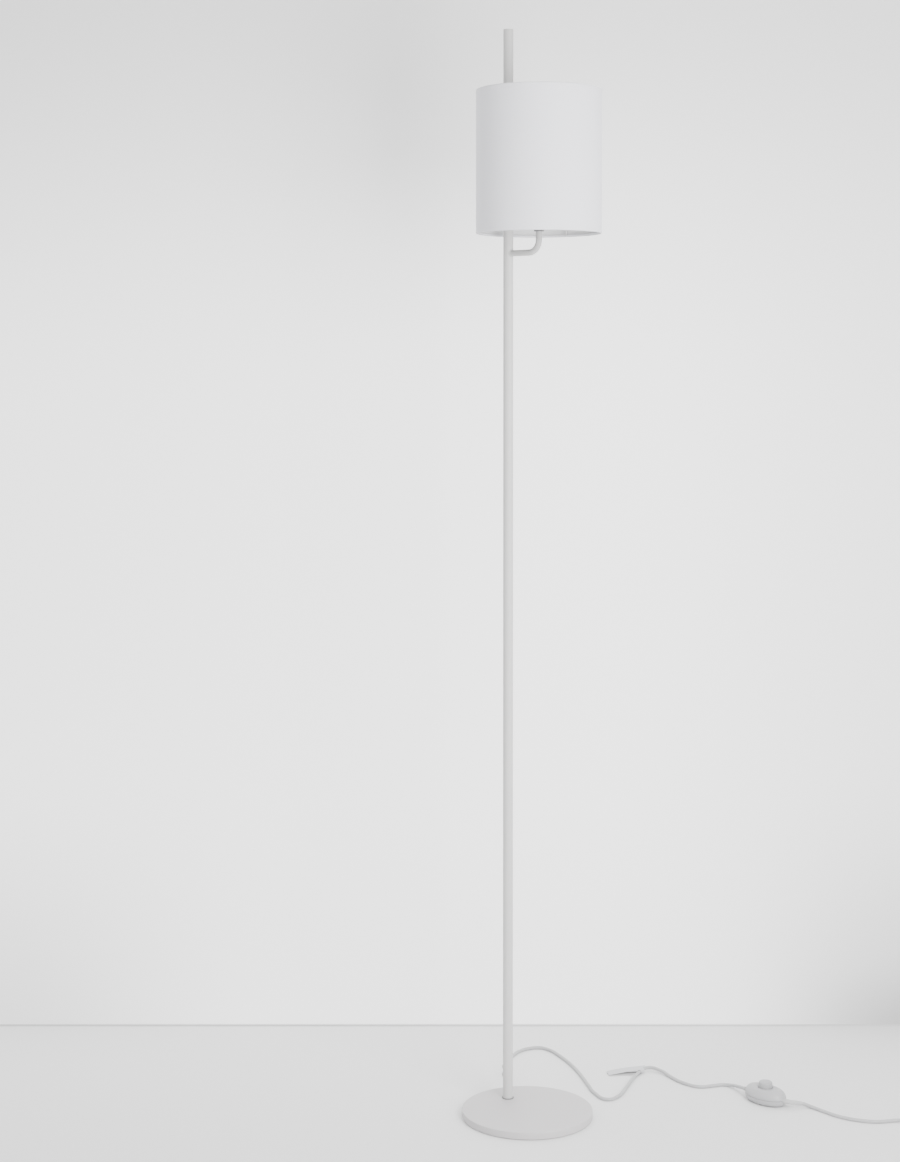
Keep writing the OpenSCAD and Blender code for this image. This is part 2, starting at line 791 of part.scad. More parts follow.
// Room for both strain reliefs at the ends of the casing
module port_room() {
  bar(-switch_l, -switch_l / 2 + casing_wall + 5, port_d / 2 + fit_gap, port_z);
  bar(switch_l / 2 - casing_wall - 5, switch_l, port_d / 2 + fit_gap, port_z);
}

module at_screws() {
  for (place = screw_places) translate([place[0], place[1], 0]) children();
}

module switch_base() {
  head_r = screw_shank_d;
  color("whitesmoke") at_switch() difference() {
    belly(0);
    difference() {
      belly(casing_wall);
      at_screws() cylinder(r = head_r + 1, h = split_z);
    }
    translate([0, 0, split_z]) linear_extrude(2) square(2 * switch_l, center = true);
    port_room();
    at_screws() {
      cylinder(r = screw_shank_d / 2 + 0.2, h = split_z);
      cylinder(r = head_r + 0.2, h = foot_t + 2.6);
    }
  }
}

module switch_cover() {
  color("whitesmoke") at_switch() difference() {
    dome(0);
    difference() {
      dome(casing_wall);
      at_screws() translate([0, 0, split_z]) cylinder(r = screw_shank_d / 2 + 2, h = cover_h);
    }
    translate([0, 0, split_z - 2]) linear_extrude(2) square(2 * switch_l, center = true);
    port_room();
    translate([0, 0, split_z]) cylinder(r = button_r + button_gap, h = cover_h + 1);
    at_screws() translate([0, 0, split_z - 1]) cylinder(r = screw_shank_d / 2 + fit_gap, h = 7);
  }
}

module switch_button() {
  color("whitesmoke") at_switch() translate([0, 0, flange_top - flange_t]) difference() {
    rise = button_top - flange_top + flange_t;
    rotate_extrude() {
      square([button_r - button_edge_r, rise]);
      square([button_r, rise - button_edge_r]);
      translate([button_r - button_edge_r, rise - button_edge_r]) circle(r = button_edge_r);
      square([button_r + flange_w, flange_t]);
    }
    translate([0, 0, -1]) cylinder(r = pocket_r, h = pocket_top - flange_top + flange_t + 1);
  }
}

module switch_spring() {
  turns = 5;
  low = block_top + spring_wire_d / 2;
  high = pocket_top - spring_wire_d / 2;
  path = [
    for (k = [0 : 8 * turns])
      [spring_d / 2 * cos(45 * k), spring_d / 2 * sin(45 * k), low + (high - low) * k / (8 * turns)]
  ];
  color("silver") at_switch() swept(path, spring_wire_d / 2, spring_wire_d / 2, 6);
}

block_size = [28, 14];
terminal_size = [7, 8, 4.5];
terminal_at = 9.2;

module switch_block() {
  color("tan") at_switch() difference() {
    translate([-block_size[0] / 2, -block_size[1] / 2, block_z]) cube([block_size[0], block_size[1], block_h]);
    for (side = [-1, 1]) translate([side * terminal_at, 0, block_top - terminal_size[2] + 5])
      cube([terminal_size[0] + 0.6, terminal_size[1] + 0.6, 10], center = true);
  }
}

module switch_terminals() {
  color("goldenrod") at_switch() for (side = [-1, 1])
    translate([side * terminal_at, 0, block_top - terminal_size[2] / 2]) difference() {
      cube(terminal_size, center = true);
      cylinder(r = 1.2, h = 10, center = true);
    }
}

module switch_screws() {
  head_z = foot_t + 0.6;
  color("silver") at_switch() at_screws() difference() {
    union() {
      translate([0, 0, head_z]) cylinder(r = screw_shank_d, h = 2);
      translate([0, 0, head_z]) cylinder(r = screw_shank_d / 2, h = split_z + 5.5 - head_z);
    }
    translate([0, 0, head_z]) cube([3.6, 0.7, 2.4], center = true);
    translate([0, 0, head_z]) cube([0.7, 3.6, 2.4], center = true);
  }
}

module switch_feet() {
  color("dimgray") at_switch() for (place = feet_places)
    translate([place[0], place[1], 0]) cylinder(d = foot_d, h = foot_t);
}

module switch_relief_in() {
  color("white") at_switch() {
    translate([-switch_l / 2 - relief_in_out, 0, port_z]) rotate([0, 90, 0])
      cylinder(r1 = relief_tip_d / 2, r2 = port_d / 2, h = relief_in_out);
    bar(-switch_l / 2, -switch_l / 2 + relief_in_l - relief_in_out, port_d / 2, port_z);
  }
}

module switch_relief_out() {
  path = concat([on_switch(switch_l / 2 - 7, port_z)], smooth(relief_bend, 2));
  color("white") swept(path, port_d / 2, relief_tip_d / 2, 16);
}

module cord_plug_run() {
  path = concat([relief_bend[5]], smooth(plug_route, 2), [coil_path[0]]);
  color("whitesmoke") swept(path, cord_r, cord_r, 8);
}

module cord_coil() {
  color("whitesmoke") swept(coil_path, cord_r, cord_r, 6);
}

module cord_tail() {
  color("whitesmoke") swept(tail_route, cord_r, cord_r, 6);
}

module plug_relief() {
  color("white") translate([plug_x, plug_y, plug_z]) rotate([-90, 0, 0])
    cylinder(r1 = relief_tip_d / 2, r2 = plug_relief_d / 2, h = plug_relief_l);
}

module plug_upright(x, y, r, h) {
  translate([x, y, plug_z]) rotate([-90, 0, 0]) cylinder(r = r, h = h, $fn = 32);
}

module at_pins() {
  for (side = [-1, 1]) translate([plug_x + side * pin_spacing / 2, 0, plug_z]) rotate([-90, 0, 0])
    children();
}

module plug_body() {
  corner = plug_t / 2;
  color("white") difference() {
    union() {
      hull() {
        for (side = [-1, 1]) plug_upright(plug_x + side * (plug_w / 2 - corner), plug_face_y - 16, corner, 16);
        plug_upright(plug_x, plug_body_y, corner - 0.5, 6);
      }
      at_pins() translate([0, 0, plug_face_y - 1]) cylinder(d = pin_sleeve_d, h = sleeve_l + 1);
    }
    at_pins() translate([0, 0, plug_face_y - 10]) cylinder(r = pin_core_d / 2 + fit_gap, h = sleeve_l + 11);
  }
}

module plug_pins() {
  tip = plug_face_y + sleeve_l;
  color("silver") at_pins() {
    translate([0, 0, plug_face_y - 10]) cylinder(r = pin_core_d / 2, h = sleeve_l + 10);
    translate([0, 0, tip]) cylinder(r = pin_d / 2, h = pin_tip_l - 1);
    translate([0, 0, tip + pin_tip_l - 1]) cylinder(r1 = pin_d / 2, r2 = pin_d / 2 - 0.7, h = 1);
  }
}

base_plate();
base_pad();
base_bolt();
base_washer();
foot_insert();
foot_ring();
pole_lower();
pole_second();
pole_third();
pole_upper();
pole_joint_low();
pole_joint_mid();
pole_joint_high();
pole_cap();
arm();
arm_weld();
arm_locknut();
holder_cap();
holder_shell();
holder_insulator();
holder_sleeve();
holder_contact();
clamp_ring_lower();
clamp_ring_upper();
bulb_cap();
bulb_eyelet();
bulb_housing();
bulb_globe();
shade_spider();
shade_bottom_ring();
shade_top_ring();
shade_liner();
shade_fabric();
shade_seam();
hem_bottom();
hem_top();
inner_cable();
cord_bushing();
cord_relief();
cord_lamp_run();
cord_tag();
switch_base();
switch_cover();
switch_button();
switch_spring();
switch_block();
switch_terminals();
switch_screws();
switch_feet();
switch_relief_in();
switch_relief_out();
cord_plug_run();
cord_coil();
cord_tail();
plug_relief();
plug_body();
plug_pins();
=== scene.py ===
# %% [markdown]
# # A slim floor lamp, dressed
#
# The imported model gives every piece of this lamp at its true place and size. This notebook puts a
# camera where the photographer stood, lays the cord, and then models and paints the lamp piece by
# piece. The lamp stands on Z = 0 and the camera looks along +Y. Sizes are written in millimetres,
# as on a workshop drawing, and MM turns them into Blender's metres.

# %% Load the model
import math
from collections import namedtuple
from contextlib import contextmanager

import bmesh
import bpy
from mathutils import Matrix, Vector


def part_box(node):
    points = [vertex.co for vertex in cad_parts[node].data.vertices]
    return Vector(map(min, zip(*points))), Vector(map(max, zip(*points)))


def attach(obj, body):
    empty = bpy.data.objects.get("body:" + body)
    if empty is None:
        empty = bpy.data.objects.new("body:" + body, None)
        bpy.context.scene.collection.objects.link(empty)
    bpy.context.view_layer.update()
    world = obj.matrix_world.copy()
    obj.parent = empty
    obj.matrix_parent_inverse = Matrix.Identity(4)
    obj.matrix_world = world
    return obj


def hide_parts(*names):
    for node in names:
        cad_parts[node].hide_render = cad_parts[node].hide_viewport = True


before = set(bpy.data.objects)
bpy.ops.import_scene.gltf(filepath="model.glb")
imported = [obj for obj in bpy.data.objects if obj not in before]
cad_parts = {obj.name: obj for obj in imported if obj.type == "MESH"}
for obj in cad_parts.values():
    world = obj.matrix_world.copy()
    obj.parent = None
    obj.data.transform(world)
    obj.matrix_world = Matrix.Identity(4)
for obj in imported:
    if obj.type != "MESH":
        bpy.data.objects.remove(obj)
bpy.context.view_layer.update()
MM = 0.001

# %% Places and sizes from the model
Spot = namedtuple("Spot", "x y low high half_x half_y")


def spot(node):
    """A node's middle, lowest and highest heights (to 0.05 mm) and half widths (to 0.1 mm)."""
    low, high = (Vector(corner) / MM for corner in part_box(node))
    middle, half = (low + high) / 2, (high - low) / 2
    places = [round(20 * value) / 20 for value in (middle.x, middle.y, low.z, high.z)]
    return Spot(*places, round(half.x, 1), round(half.y, 1))


plate, pole, holder = spot("base_plate"), spot("pole_lower"), spot("holder_shell")
shade, button_spot, plug_spot = spot("shade_fabric"), spot("switch_button"), spot("plug_body")
print("plate, pole, holder, shade:", plate, pole, holder, shade, sep="\n")

# %% [markdown]
# ## The camera
#
# A product photographer keeps the camera level so that the pole stays parallel to the picture's
# edge, and slides the picture down with the lens shift. The pitch of one degree is what is left of
# that levelling. The lens is a short telephoto of 64 mm on a sensor 36 mm long.

# %% Camera
camera_data = bpy.data.cameras.new("product_camera")
camera_data.lens = 64.03
camera_data.sensor_width = 36.0
camera_data.shift_y = -0.157
camera = bpy.data.objects.new("product_camera", camera_data)
camera.location = (-0.1231, -3.274, 1.201)
camera.rotation_euler = (math.radians(89), 0, 0)
bpy.context.collection.objects.link(camera)
bpy.context.scene.camera = camera
print("camera", tuple(camera.location), "lens", camera_data.lens)

# %% [markdown]
# ## Small helpers
#
# Every operator works on the current selection, so a helper first picks its piece. A turned piece
# starts as a circle, and each further ring of it is an extrusion that is moved up and scaled, as a
# modeller does by hand.


# %% Selection
def pick(*pieces):
    """Selects these pieces alone, with the first one active."""
    bpy.ops.object.select_all(action="DESELECT")
    for piece in pieces:
        piece.select_set(True)
    bpy.context.view_layer.objects.active = pieces[0]


@contextmanager
def editing():
    """Edit mode with the whole active piece selected, and object mode again afterwards."""
    bpy.ops.object.mode_set(mode="EDIT")
    bpy.ops.mesh.select_all(action="SELECT")
    yield
    bpy.ops.object.mode_set(mode="OBJECT")


def choose(piece, test, kind="verts"):
    """In edit mode, selects the points or faces whose place and item pass the test."""
    mesh = bmesh.from_edit_mesh(piece.data)
    bpy.ops.mesh.select_all(action="DESELECT")
    chosen = 0
    for item in getattr(mesh, kind):
        middle = item.co if kind == "verts" else item.calc_center_median()
        if test(middle, item):
            item.select_set(True)
            chosen += 1
    mesh.select_flush_mode()
    bmesh.update_edit_mesh(piece.data)
    return chosen


def made(name):
    """The piece that an operator has just made, with its name."""
    bpy.context.object.name = name
    return bpy.context.object


def tell(piece):
    """Prints a piece's name and its size."""
    print(piece.name, [round(side / MM, 1) for side in piece.dimensions], "mm")


def bake(piece):
    """Puts a piece's place, turn and scale into its mesh."""
    pick(piece)
    bpy.ops.object.transform_apply(location=True, rotation=True, scale=True)
    return piece


# %% Finishing and copying
def settle(piece, smooth=35):
    """Bakes the place, merges doubles, turns the faces outwards and smooths the shading."""
    bake(piece)
    with editing():
        bpy.ops.mesh.remove_doubles(threshold=MM / 1000)
        bpy.ops.mesh.normals_make_consistent(inside=False)
    bpy.ops.object.shade_smooth_by_angle(angle=math.radians(smooth))
    return piece


def modify(piece, kind, **values):
    """Adds one modifier, sets its values and applies it."""
    pick(piece)
    modifier = piece.modifiers.new(kind.lower(), kind)
    for label, value in values.items():
        setattr(modifier, label, value)
    bpy.ops.object.modifier_apply(modifier=modifier.name)
    return piece


def new_object(name, data):
    """A new object of the scene from its data."""
    piece = bpy.data.objects.new(name, data)
    bpy.context.collection.objects.link(piece)
    return piece


def copy_of(piece, name, shift=(0, 0, 0)):
    """A copy with its own mesh, moved by a shift in millimetres."""
    twin = new_object(name, piece.data.copy())
    twin.location = Vector(shift) * MM
    return bake(twin)


def paint(piece, material):
    """Gives a piece one material in all its slots."""
    if not piece.material_slots:
        piece.data.materials.append(material)
    for part in piece.material_slots:
        part.material = material
    return piece


def dress(piece, nodes, material, body="lamp"):
    """Says which solids a piece stands for and what it moves with, and gives it its material."""
    if nodes:
        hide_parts(*nodes.split())
    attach(piece, body)
    return paint(piece, material)


# %% Turned pieces
def rings(name, levels, segments=96, caps=True, at=(0, 0)):
    """A piece made of upright rings: each level is (half width x, half width y, height) in mm."""
    wide, deep, height = levels[0]
    centre = (at[0] * MM, at[1] * MM)
    bpy.ops.mesh.primitive_circle_add(vertices=segments, radius=1, location=(*centre, height * MM),
                                      fill_type="NGON" if caps else "NOTHING")
    extrude = bpy.ops.mesh.extrude_region_move if caps else bpy.ops.mesh.extrude_edges_move
    with editing():
        bpy.ops.transform.resize(value=(wide * MM, deep * MM, 1), center_override=(*centre, height * MM))
        for (wide, deep, height), (next_wide, next_deep, rise) in zip(levels, levels[1:]):
            extrude(TRANSFORM_OT_translate={"value": (0, 0, (rise - height) * MM)})
            bpy.ops.transform.resize(value=(next_wide / wide, next_deep / deep, 1),
                                     center_override=(*centre, rise * MM))
    return made(name)


def turned(name, profile, segments=96, at=(0, 0), caps=True):
    """A round piece from (radius, height) levels in millimetres."""
    return rings(name, [(radius, radius, height) for radius, height in profile], segments, caps, at)


def hollow(name, profile, segments=96, at=(0, 0)):
    """A round piece with a bore: its outline of levels is closed to a loop."""
    return turned(name, [*profile, profile[0]], segments, at, caps=False)


def band(name, inner, outer, low, high, segments=96, at=(0, 0)):
    """A round piece with a bore and square edges."""
    return hollow(name, [(inner, low), (outer, low), (outer, high), (inner, high)], segments, at)


def corner(radius, size, height, start, stop, steps=5):
    """Levels of a rounded edge: an arc round the point (radius, height), angles in degrees."""
    angles = [math.radians(start + (stop - start) * step / steps) for step in range(steps + 1)]
    return [(radius + size * math.cos(angle), height + size * math.sin(angle)) for angle in angles]


def raised(levels, low, way=1):
    """Levels above a height, or with way -1 below it."""
    return [(radius, low + way * rise) for radius, rise in levels]


# %% Placing
def heading(angle, rise=0):
    """A way on the floor plan by its angle from +X, with its rise per unit."""
    return Vector((math.cos(angle), math.sin(angle), rise))


def swing(piece, angle, x, y):
    """Turns a piece about the upright line through its origin and sets it at a place in mm."""
    piece.rotation_euler = (0, 0, angle)
    piece.location.xy = (x * MM, y * MM)
    return bake(piece)


def lay_along(piece, place, direction):
    """Tips a piece that was made along +Z to a direction and sets it at a place in mm."""
    bake(piece)
    piece.rotation_mode = "QUATERNION"
    piece.rotation_quaternion = Vector((0, 0, 1)).rotation_difference(Vector(direction).normalized())
    piece.location = Vector(place) * MM
    return bake(piece)


# %% [markdown]
# ## The cord
#
# The cord leaves the pole through a moulded strain relief, falls to the floor, lies there in two
# loose bends, passes through a paper flag and the foot switch, and runs on to the right. The photo
# cuts it off, so the rest is wound into a coil just outside the view, with the plug beside it. A
# Bezier curve through the solid cord's points keeps it smooth. Its bevel is one metre deep and each
# point's radius scales it down, which keeps Blender's own box of the curve true.

# %% Route from the pole to the foot switch
CORD_R = 2.7
lamp_points = [
    (-33.52, 81.75, 47), (-34.2, 87.1, 47), (-34.8, 101, 45), (-34.2, 118, 40), (-32.6, 136, 31.8),
    (-30.5, 154, 22.5), (-28.5, 173, 12.8), (-26.5, 193, 6), (-25, 214, 3.1), (-24, 236),
    (-21.5, 259), (-14, 281), (-2, 302), (14, 316), (34, 320.5),
    (51, 307.5), (64, 283.5), (76.5, 253.5), (89, 215), (98, 177),
    (106, 135), (115.5, 93), (133, 67), (150.5, 80), (166, 116),
    (181, 159, 2.9), (195, 189, 4.3), (213, 209, 6.1), (232, 198, 5.2), (247, 172.5, 3),
    (265, 144), (290, 126), (315, 131.5), (330, 135.3, 2.8), (341, 130.5, 3.7),
    (347.5, 120.5, 6.2), (351.2, 109, 8.9), (355.53, 98.68, 11), (359.28, 94.79, 11),
]

# %% Route from the foot switch to the coil, and from the coil to the plug
plug_points = [
    (442.8, 37.4, 6.7), (447.88, 38.74, 5.45), (456, 34, 3.7), (465.5, 24.5, 2.8), (477, 11),
    (489, -3.5), (505, -16.5), (528, -27.5), (552, -31.8), (575, -27.6),
    (600, -23.6), (618, -22.2), (634.2, -22), (639.6, -22),
]
tail_points = [(679.5, 19.4, 8.7), (679.5, 32, 8.5), (679.5, 44, 7.6), (679.5, 53, 7), (679.5, 60, 7)]
COIL_X, COIL_Y, COIL_R, PITCH = 645, 14, 36, 6
FIRST_TURN, REVERSAL, LAST_TURN, TURN_STEP = -90, 720, 1440, 15


def coil_point(turn):
    """A point of the coil by its turn in degrees: a spiral in, a climb, and one out on top."""
    past = max(0, turn - REVERSAL)
    radius = COIL_R - PITCH * (min(turn, REVERSAL) - FIRST_TURN) / 360 + PITCH * past / 360
    climb = PITCH / 2 * (1 - math.cos(math.radians(min(180, max(0, turn - REVERSAL + 90)))))
    return (COIL_X + radius * math.cos(math.radians(turn)),
            COIL_Y + radius * math.sin(math.radians(turn)), CORD_R + climb)


coil_points = [coil_point(turn) for turn in range(FIRST_TURN, LAST_TURN + 1, TURN_STEP)]


# %% Lay the cord
def lay_cord(name, points, start_r=CORD_R, end_r=CORD_R):
    """A round flex through points in mm, on the floor where they give no height; and its length."""
    curve = bpy.data.curves.new(name, "CURVE")
    curve.dimensions = "3D"
    spline = curve.splines.new("BEZIER")
    spline.bezier_points.add(len(points) - 1)
    for index, (knot, point) in enumerate(zip(spline.bezier_points, points)):
        knot.co = Vector((*point, CORD_R)[:3]) * MM
        knot.handle_left_type = knot.handle_right_type = "AUTO"
        knot.radius = (start_r + (end_r - start_r) * index / (len(points) - 1)) * MM
    spline.resolution_u = 6
    curve.bevel_depth = 1.0
    curve.bevel_resolution = 5
    curve.use_fill_caps = True
    length = round(spline.calc_length(), 3)
    print(name, "is", length, "m long")
    return new_object(name, curve), length


cord_to_switch, length_to_switch = lay_cord("cord_to_switch", lamp_points)
cord_to_plug, length_to_plug = lay_cord("cord_to_plug", plug_points + coil_points + tail_points)

# %% [markdown]
# ## The set
#
# A pale floor and a pale wall meet behind the lamp, and a grey strip at the wall's foot is painted shadow
# that draws a thin shadow line where they meet. The wall and this strip let rays through from behind, so
# that views from the back stay open.

# %% Floor, wall and the strip of painted shadow where they meet
WALL_Y, SET_SIZE, SHADOW_STRIP_HEIGHT = 447, 12, 3.6
UPRIGHT = math.radians(90)


def panel(name, height, place, turn):
    """A flat rectangle of the set, as wide as the set, with its height and place in metres."""
    bpy.ops.mesh.primitive_plane_add(size=1, location=place, rotation=(turn, 0, 0))
    piece = made(name)
    piece.scale = (SET_SIZE, height, 1)
    bpy.ops.object.transform_apply(location=False, rotation=False, scale=True)
    return piece


floor = panel("studio_floor", SET_SIZE, (0, 0, 0), 0)
wall = panel("studio_wall", SET_SIZE, (0, WALL_Y * MM, SET_SIZE / 2), UPRIGHT)
# A grey strip at the wall's foot: painted shadow along the line where wall and floor meet.
shadow_strip = panel("studio_shadow_strip", SHADOW_STRIP_HEIGHT * MM, (0, (WALL_Y - 1) * MM, SHADOW_STRIP_HEIGHT * MM / 2), UPRIGHT)

# %% [markdown]
# ## Shader node groups
#
# *Slow tone* lets a colour drift by a few percent over a hand's width, as moulded and painted
# surfaces do. *Fine grain* gives the tiny relief of powder coat or moulded plastic. *Unroll* lays a
# drum flat, and *plain weave* draws crossing threads on it. A group only puts out colours, masks
# and heights; the shader itself stays in the material.


# %% Helpers for nodes
def new_group(name, inputs, outputs):
    """A shader node group with sockets by label and kind; gives it, what it gets and what it gives."""
    group = bpy.data.node_groups.new(name, "ShaderNodeTree")
    for way, sockets in (("INPUT", inputs), ("OUTPUT", outputs)):
        for label, kind in sockets.items():
            group.interface.new_socket(label, in_out=way, socket_type="NodeSocket" + kind)
    return group, group.nodes.new("NodeGroupInput").outputs, group.nodes.new("NodeGroupOutput").inputs


def feed(entrance, value):
    """Links an output socket to an input, or sets the input to a number or a colour."""
    if hasattr(value, "links"):
        entrance.id_data.links.new(value, entrance)
    else:
        entrance.default_value = value


def add(tree, kind, **values):
    """A node with its options set by name and its inputs fed by their labels."""
    node = tree.nodes.new("ShaderNode" + kind)
    for label, value in values.items():
        if hasattr(node, label):
            setattr(node, label, value)
        else:
            feed(node.inputs[label.replace("_", " ")], value)
    return node


def maths(operation, value, *others):
    """A Math node on an output socket and other sockets or numbers; gives its output socket."""
    node = add(value.id_data, "Math", operation=operation)
    for entrance, item in zip(node.inputs, (value, *others)):
        feed(entrance, item)
    return node.outputs[0]


def scaled(colour, factor):
    """A colour times a factor, as an output socket."""
    return add(colour.id_data, "VectorMath", operation="SCALE", Vector=colour, Scale=factor).outputs[0]


def own_place(tree):
    """The place on a piece in the piece's own coordinates, as an output socket."""
    return add(tree, "TexCoord").outputs["Object"]


# %% Slow tone
slow_tone, given, result = new_group(
    "slow_tone", dict(Place="Vector", Colour="Color", Amount="Float", Scale="Float"), dict(Colour="Color"))
clouds = add(slow_tone, "TexNoise", Detail=3, Vector=given["Place"], Scale=given["Scale"])
drift = maths("SUBTRACT", clouds.outputs["Fac"], 0.5)
factor = maths("MULTIPLY_ADD", drift, given["Amount"], 1.0)
feed(result["Colour"], scaled(given["Colour"], factor))

# %% Fine grain
COARSE_SCALE, COARSE_SHARE = 0.22, 0.6
fine_grain, given, result = new_group(
    "fine_grain", dict(Place="Vector", Scale="Float"), dict(Height="Float", Mask="Float"))
fine = add(fine_grain, "TexNoise", Detail=2, Vector=given["Place"], Scale=given["Scale"])
coarse = add(fine_grain, "TexNoise", Detail=1, Vector=given["Place"],
             Scale=maths("MULTIPLY", given["Scale"], COARSE_SCALE))
both = maths("MULTIPLY_ADD", coarse.outputs["Fac"], COARSE_SHARE, fine.outputs["Fac"])
feed(result["Height"], maths("MULTIPLY", both, 1 / (1 + COARSE_SHARE)))
feed(result["Mask"], coarse.outputs["Fac"])

# %% Unroll a drum to a flat pair of lengths
unroll, given, result = new_group(
    "unroll_drum", dict(Place="Vector", Radius="Float"), dict(Along="Float", Up="Float"))
parts = add(unroll, "SeparateXYZ", Vector=given["Place"]).outputs
angle = maths("ARCTAN2", parts["Y"], parts["X"])
feed(result["Along"], maths("MULTIPLY", angle, given["Radius"]))
feed(result["Up"], parts["Z"])

# %% Plain weave
SLUB_STRETCH = 14.0
weave, given, result = new_group(
    "plain_weave", dict(Along="Float", Up="Float", Pitch="Float", Slub="Float"),
    dict(Height="Float", Threads="Float"))


def thread(across, along, phase):
    """Height of one set of threads: a rounded bar that dives under every second crossing."""
    count = maths("DIVIDE", across, given["Pitch"])
    bar = maths("ABSOLUTE", maths("SINE", maths("MULTIPLY", count, math.pi)))
    step = maths("ADD", maths("DIVIDE", along, given["Pitch"]), maths("FLOOR", count))
    wave = maths("SINE", maths("MULTIPLY_ADD", step, math.pi, phase))
    return maths("MULTIPLY", bar, maths("MULTIPLY_ADD", wave, 0.5, 0.5))


warp = thread(given["Along"], given["Up"], 0.0)
weft = thread(given["Up"], given["Along"], math.pi)
flat_pair = add(weave, "CombineXYZ", X=given["Along"], Y=maths("MULTIPLY", given["Up"], SLUB_STRETCH))
slubs = add(weave, "TexNoise", Scale=60, Detail=3, Vector=flat_pair.outputs[0]).outputs["Fac"]
uneven = maths("SUBTRACT", slubs, 0.5)
cloth_top = maths("MULTIPLY_ADD", uneven, given["Slub"], maths("MAXIMUM", warp, weft))
feed(result["Height"], cloth_top)
feed(result["Threads"], slubs)

# %% [markdown]
# ## Finishes
#
# A finish is a Principled shader with its constants set on its own sockets, fed with a drifting
# colour, a roughness that varies a little, and a bump from the grain or the weave.


# %% One plain finish
SPREAD = 0.08


def shader_of(material):
    """The Principled shader of a material."""
    return material.node_tree.nodes["Principled BSDF"]


def finish(name, colour, roughness, drift=0.04, drift_scale=8.0, grain=900.0, bump=0.1,
           depth=0.05 * MM, **sockets):
    """A material of a colour or a grey with slow tone, grain bump and uneven roughness."""
    material = bpy.data.materials.new(name)
    material.use_nodes = True
    tree = material.node_tree
    place = own_place(tree)
    rgb = colour if isinstance(colour, tuple) else (colour, colour, colour)
    tone = add(tree, "Group", node_tree=slow_tone, Place=place, Colour=(*rgb, 1), Amount=drift,
               Scale=drift_scale)
    grains = add(tree, "Group", node_tree=fine_grain, Place=place, Scale=grain).outputs
    relief = add(tree, "Bump", Strength=bump, Distance=depth, Height=grains["Height"])
    uneven = maths("MULTIPLY_ADD", grains["Mask"], SPREAD, roughness - SPREAD / 2)
    sockets.update(Base_Color=tone.outputs["Colour"], Roughness=uneven, Normal=relief.outputs["Normal"])
    for label, value in sockets.items():
        feed(shader_of(material).inputs[label.replace("_", " ")], value)
    return material


# %% Paint, plastic, metal and paper
coat = dict(drift=0.03, drift_scale=5, grain=1400, bump=0.35, depth=0.08 * MM)
powder_coat = finish("powder_coat", (0.535, 0.53, 0.525), 0.52, **coat)
# A pinker, darker copy of the powder coat for the base plate: the pink tint is the plate's own colour, the
# darkening is painted shade.
plate_coat_tint_and_shade = finish("plate_powder_coat_tint_and_shade", (0.485, 0.47, 0.475), 0.55, **coat)
# A darker copy of the powder coat for the arm: painted shade where the arm sits under the lampshade.
arm_coat_painted_shade = finish("arm_powder_coat_painted_shade", (0.45, 0.446, 0.442), 0.52, **coat)
wire_enamel = finish("wire_enamel", 0.62, 0.4, bump=0.15)
zinc_grain = dict(drift_scale=60, grain=600, bump=0.2)
zinc = finish("zinc_plate", (0.35, 0.35, 0.355), 0.38, drift=0.12, Metallic=1.0, **zinc_grain)
black_zinc = finish("black_zinc", 0.09, 0.45, drift=0.1, **zinc_grain)
gasket = finish("gasket_grey", 0.16, 0.7)
holder_white = finish("holder_white", (0.60, 0.60, 0.595), 0.32, grain=700)
glazed = finish("glazed_ceramic", (0.78, 0.75, 0.68), 0.2, drift=0.06, drift_scale=80)
brass = finish("contact_brass", (0.72, 0.5, 0.2), 0.3, drift=0.12, drift_scale=90, Metallic=1.0)
cap_metal = finish("cap_aluminium", (0.68, 0.68, 0.69), 0.32, drift=0.08, Metallic=1.0)
bulb_white = finish("bulb_white", (0.7, 0.7, 0.69), 0.38)
opal = finish("opal_globe", (0.76, 0.76, 0.74), 0.42, drift=0.015, bump=0.03, Subsurface_Weight=0.25)
soft_white = finish("soft_moulded_white", 0.44, 0.55, grain=800, bump=0.2)
switch_white = finish("switch_satin_white", (0.375, 0.375, 0.382), 0.45, drift=0.02, grain=1600, bump=0.3,
                      depth=0.06 * MM)
button_white = finish("button_satin_white", (0.345, 0.345, 0.352), 0.4, grain=1200, bump=0.12)
resin = finish("block_resin", (0.36, 0.26, 0.14), 0.6, drift=0.15, drift_scale=120)
rubber = finish("foot_rubber", 0.08, 0.85, grain=500, bump=0.4)
foam = finish("pad_foam", 0.04, 0.95, grain=260, bump=0.8, depth=0.2 * MM)
plug_white = finish("plug_moulded_white", (0.47, 0.47, 0.468), 0.45, bump=0.2)
nickel = finish("nickel_pins", (0.66, 0.65, 0.62), 0.22, drift=0.1, drift_scale=120, Metallic=1.0)
sheath = finish("cord_sheath", (0.40, 0.40, 0.405), 0.48, drift=0.05, drift_scale=20, grain=700, bump=0.15)
lining = finish("lining_film", (0.74, 0.74, 0.745), 0.55, drift=0.02, grain=500, bump=0.08)
paper = finish("tag_paper", (0.52, 0.52, 0.535), 0.5, drift=0.02, grain=1200)
paper_painted_slit_shade = finish("tag_paper_painted_slit_shade", 0.62, 0.6, drift=0.02, grain=1200)


# %% Helpers for tones that change with the place
def ramp(value, start, stop, at_start, at_stop):
    """A smooth step between two places of a coordinate; gives its output socket."""
    node = add(value.id_data, "MapRange", interpolation_type="SMOOTHSTEP", Value=value, From_Min=start,
               From_Max=stop, To_Min=at_start, To_Max=at_stop)
    return node.outputs["Result"]


def less(mask, share):
    """One, less a share of a mask."""
    return maths("MULTIPLY_ADD", mask, -share, 1.0)


def darken(material, factor):
    """Multiplies a material's colour by a factor."""
    entrance = shader_of(material).inputs["Base Color"]
    colour = entrance.links[0].from_socket
    feed(entrance, scaled(colour, factor))


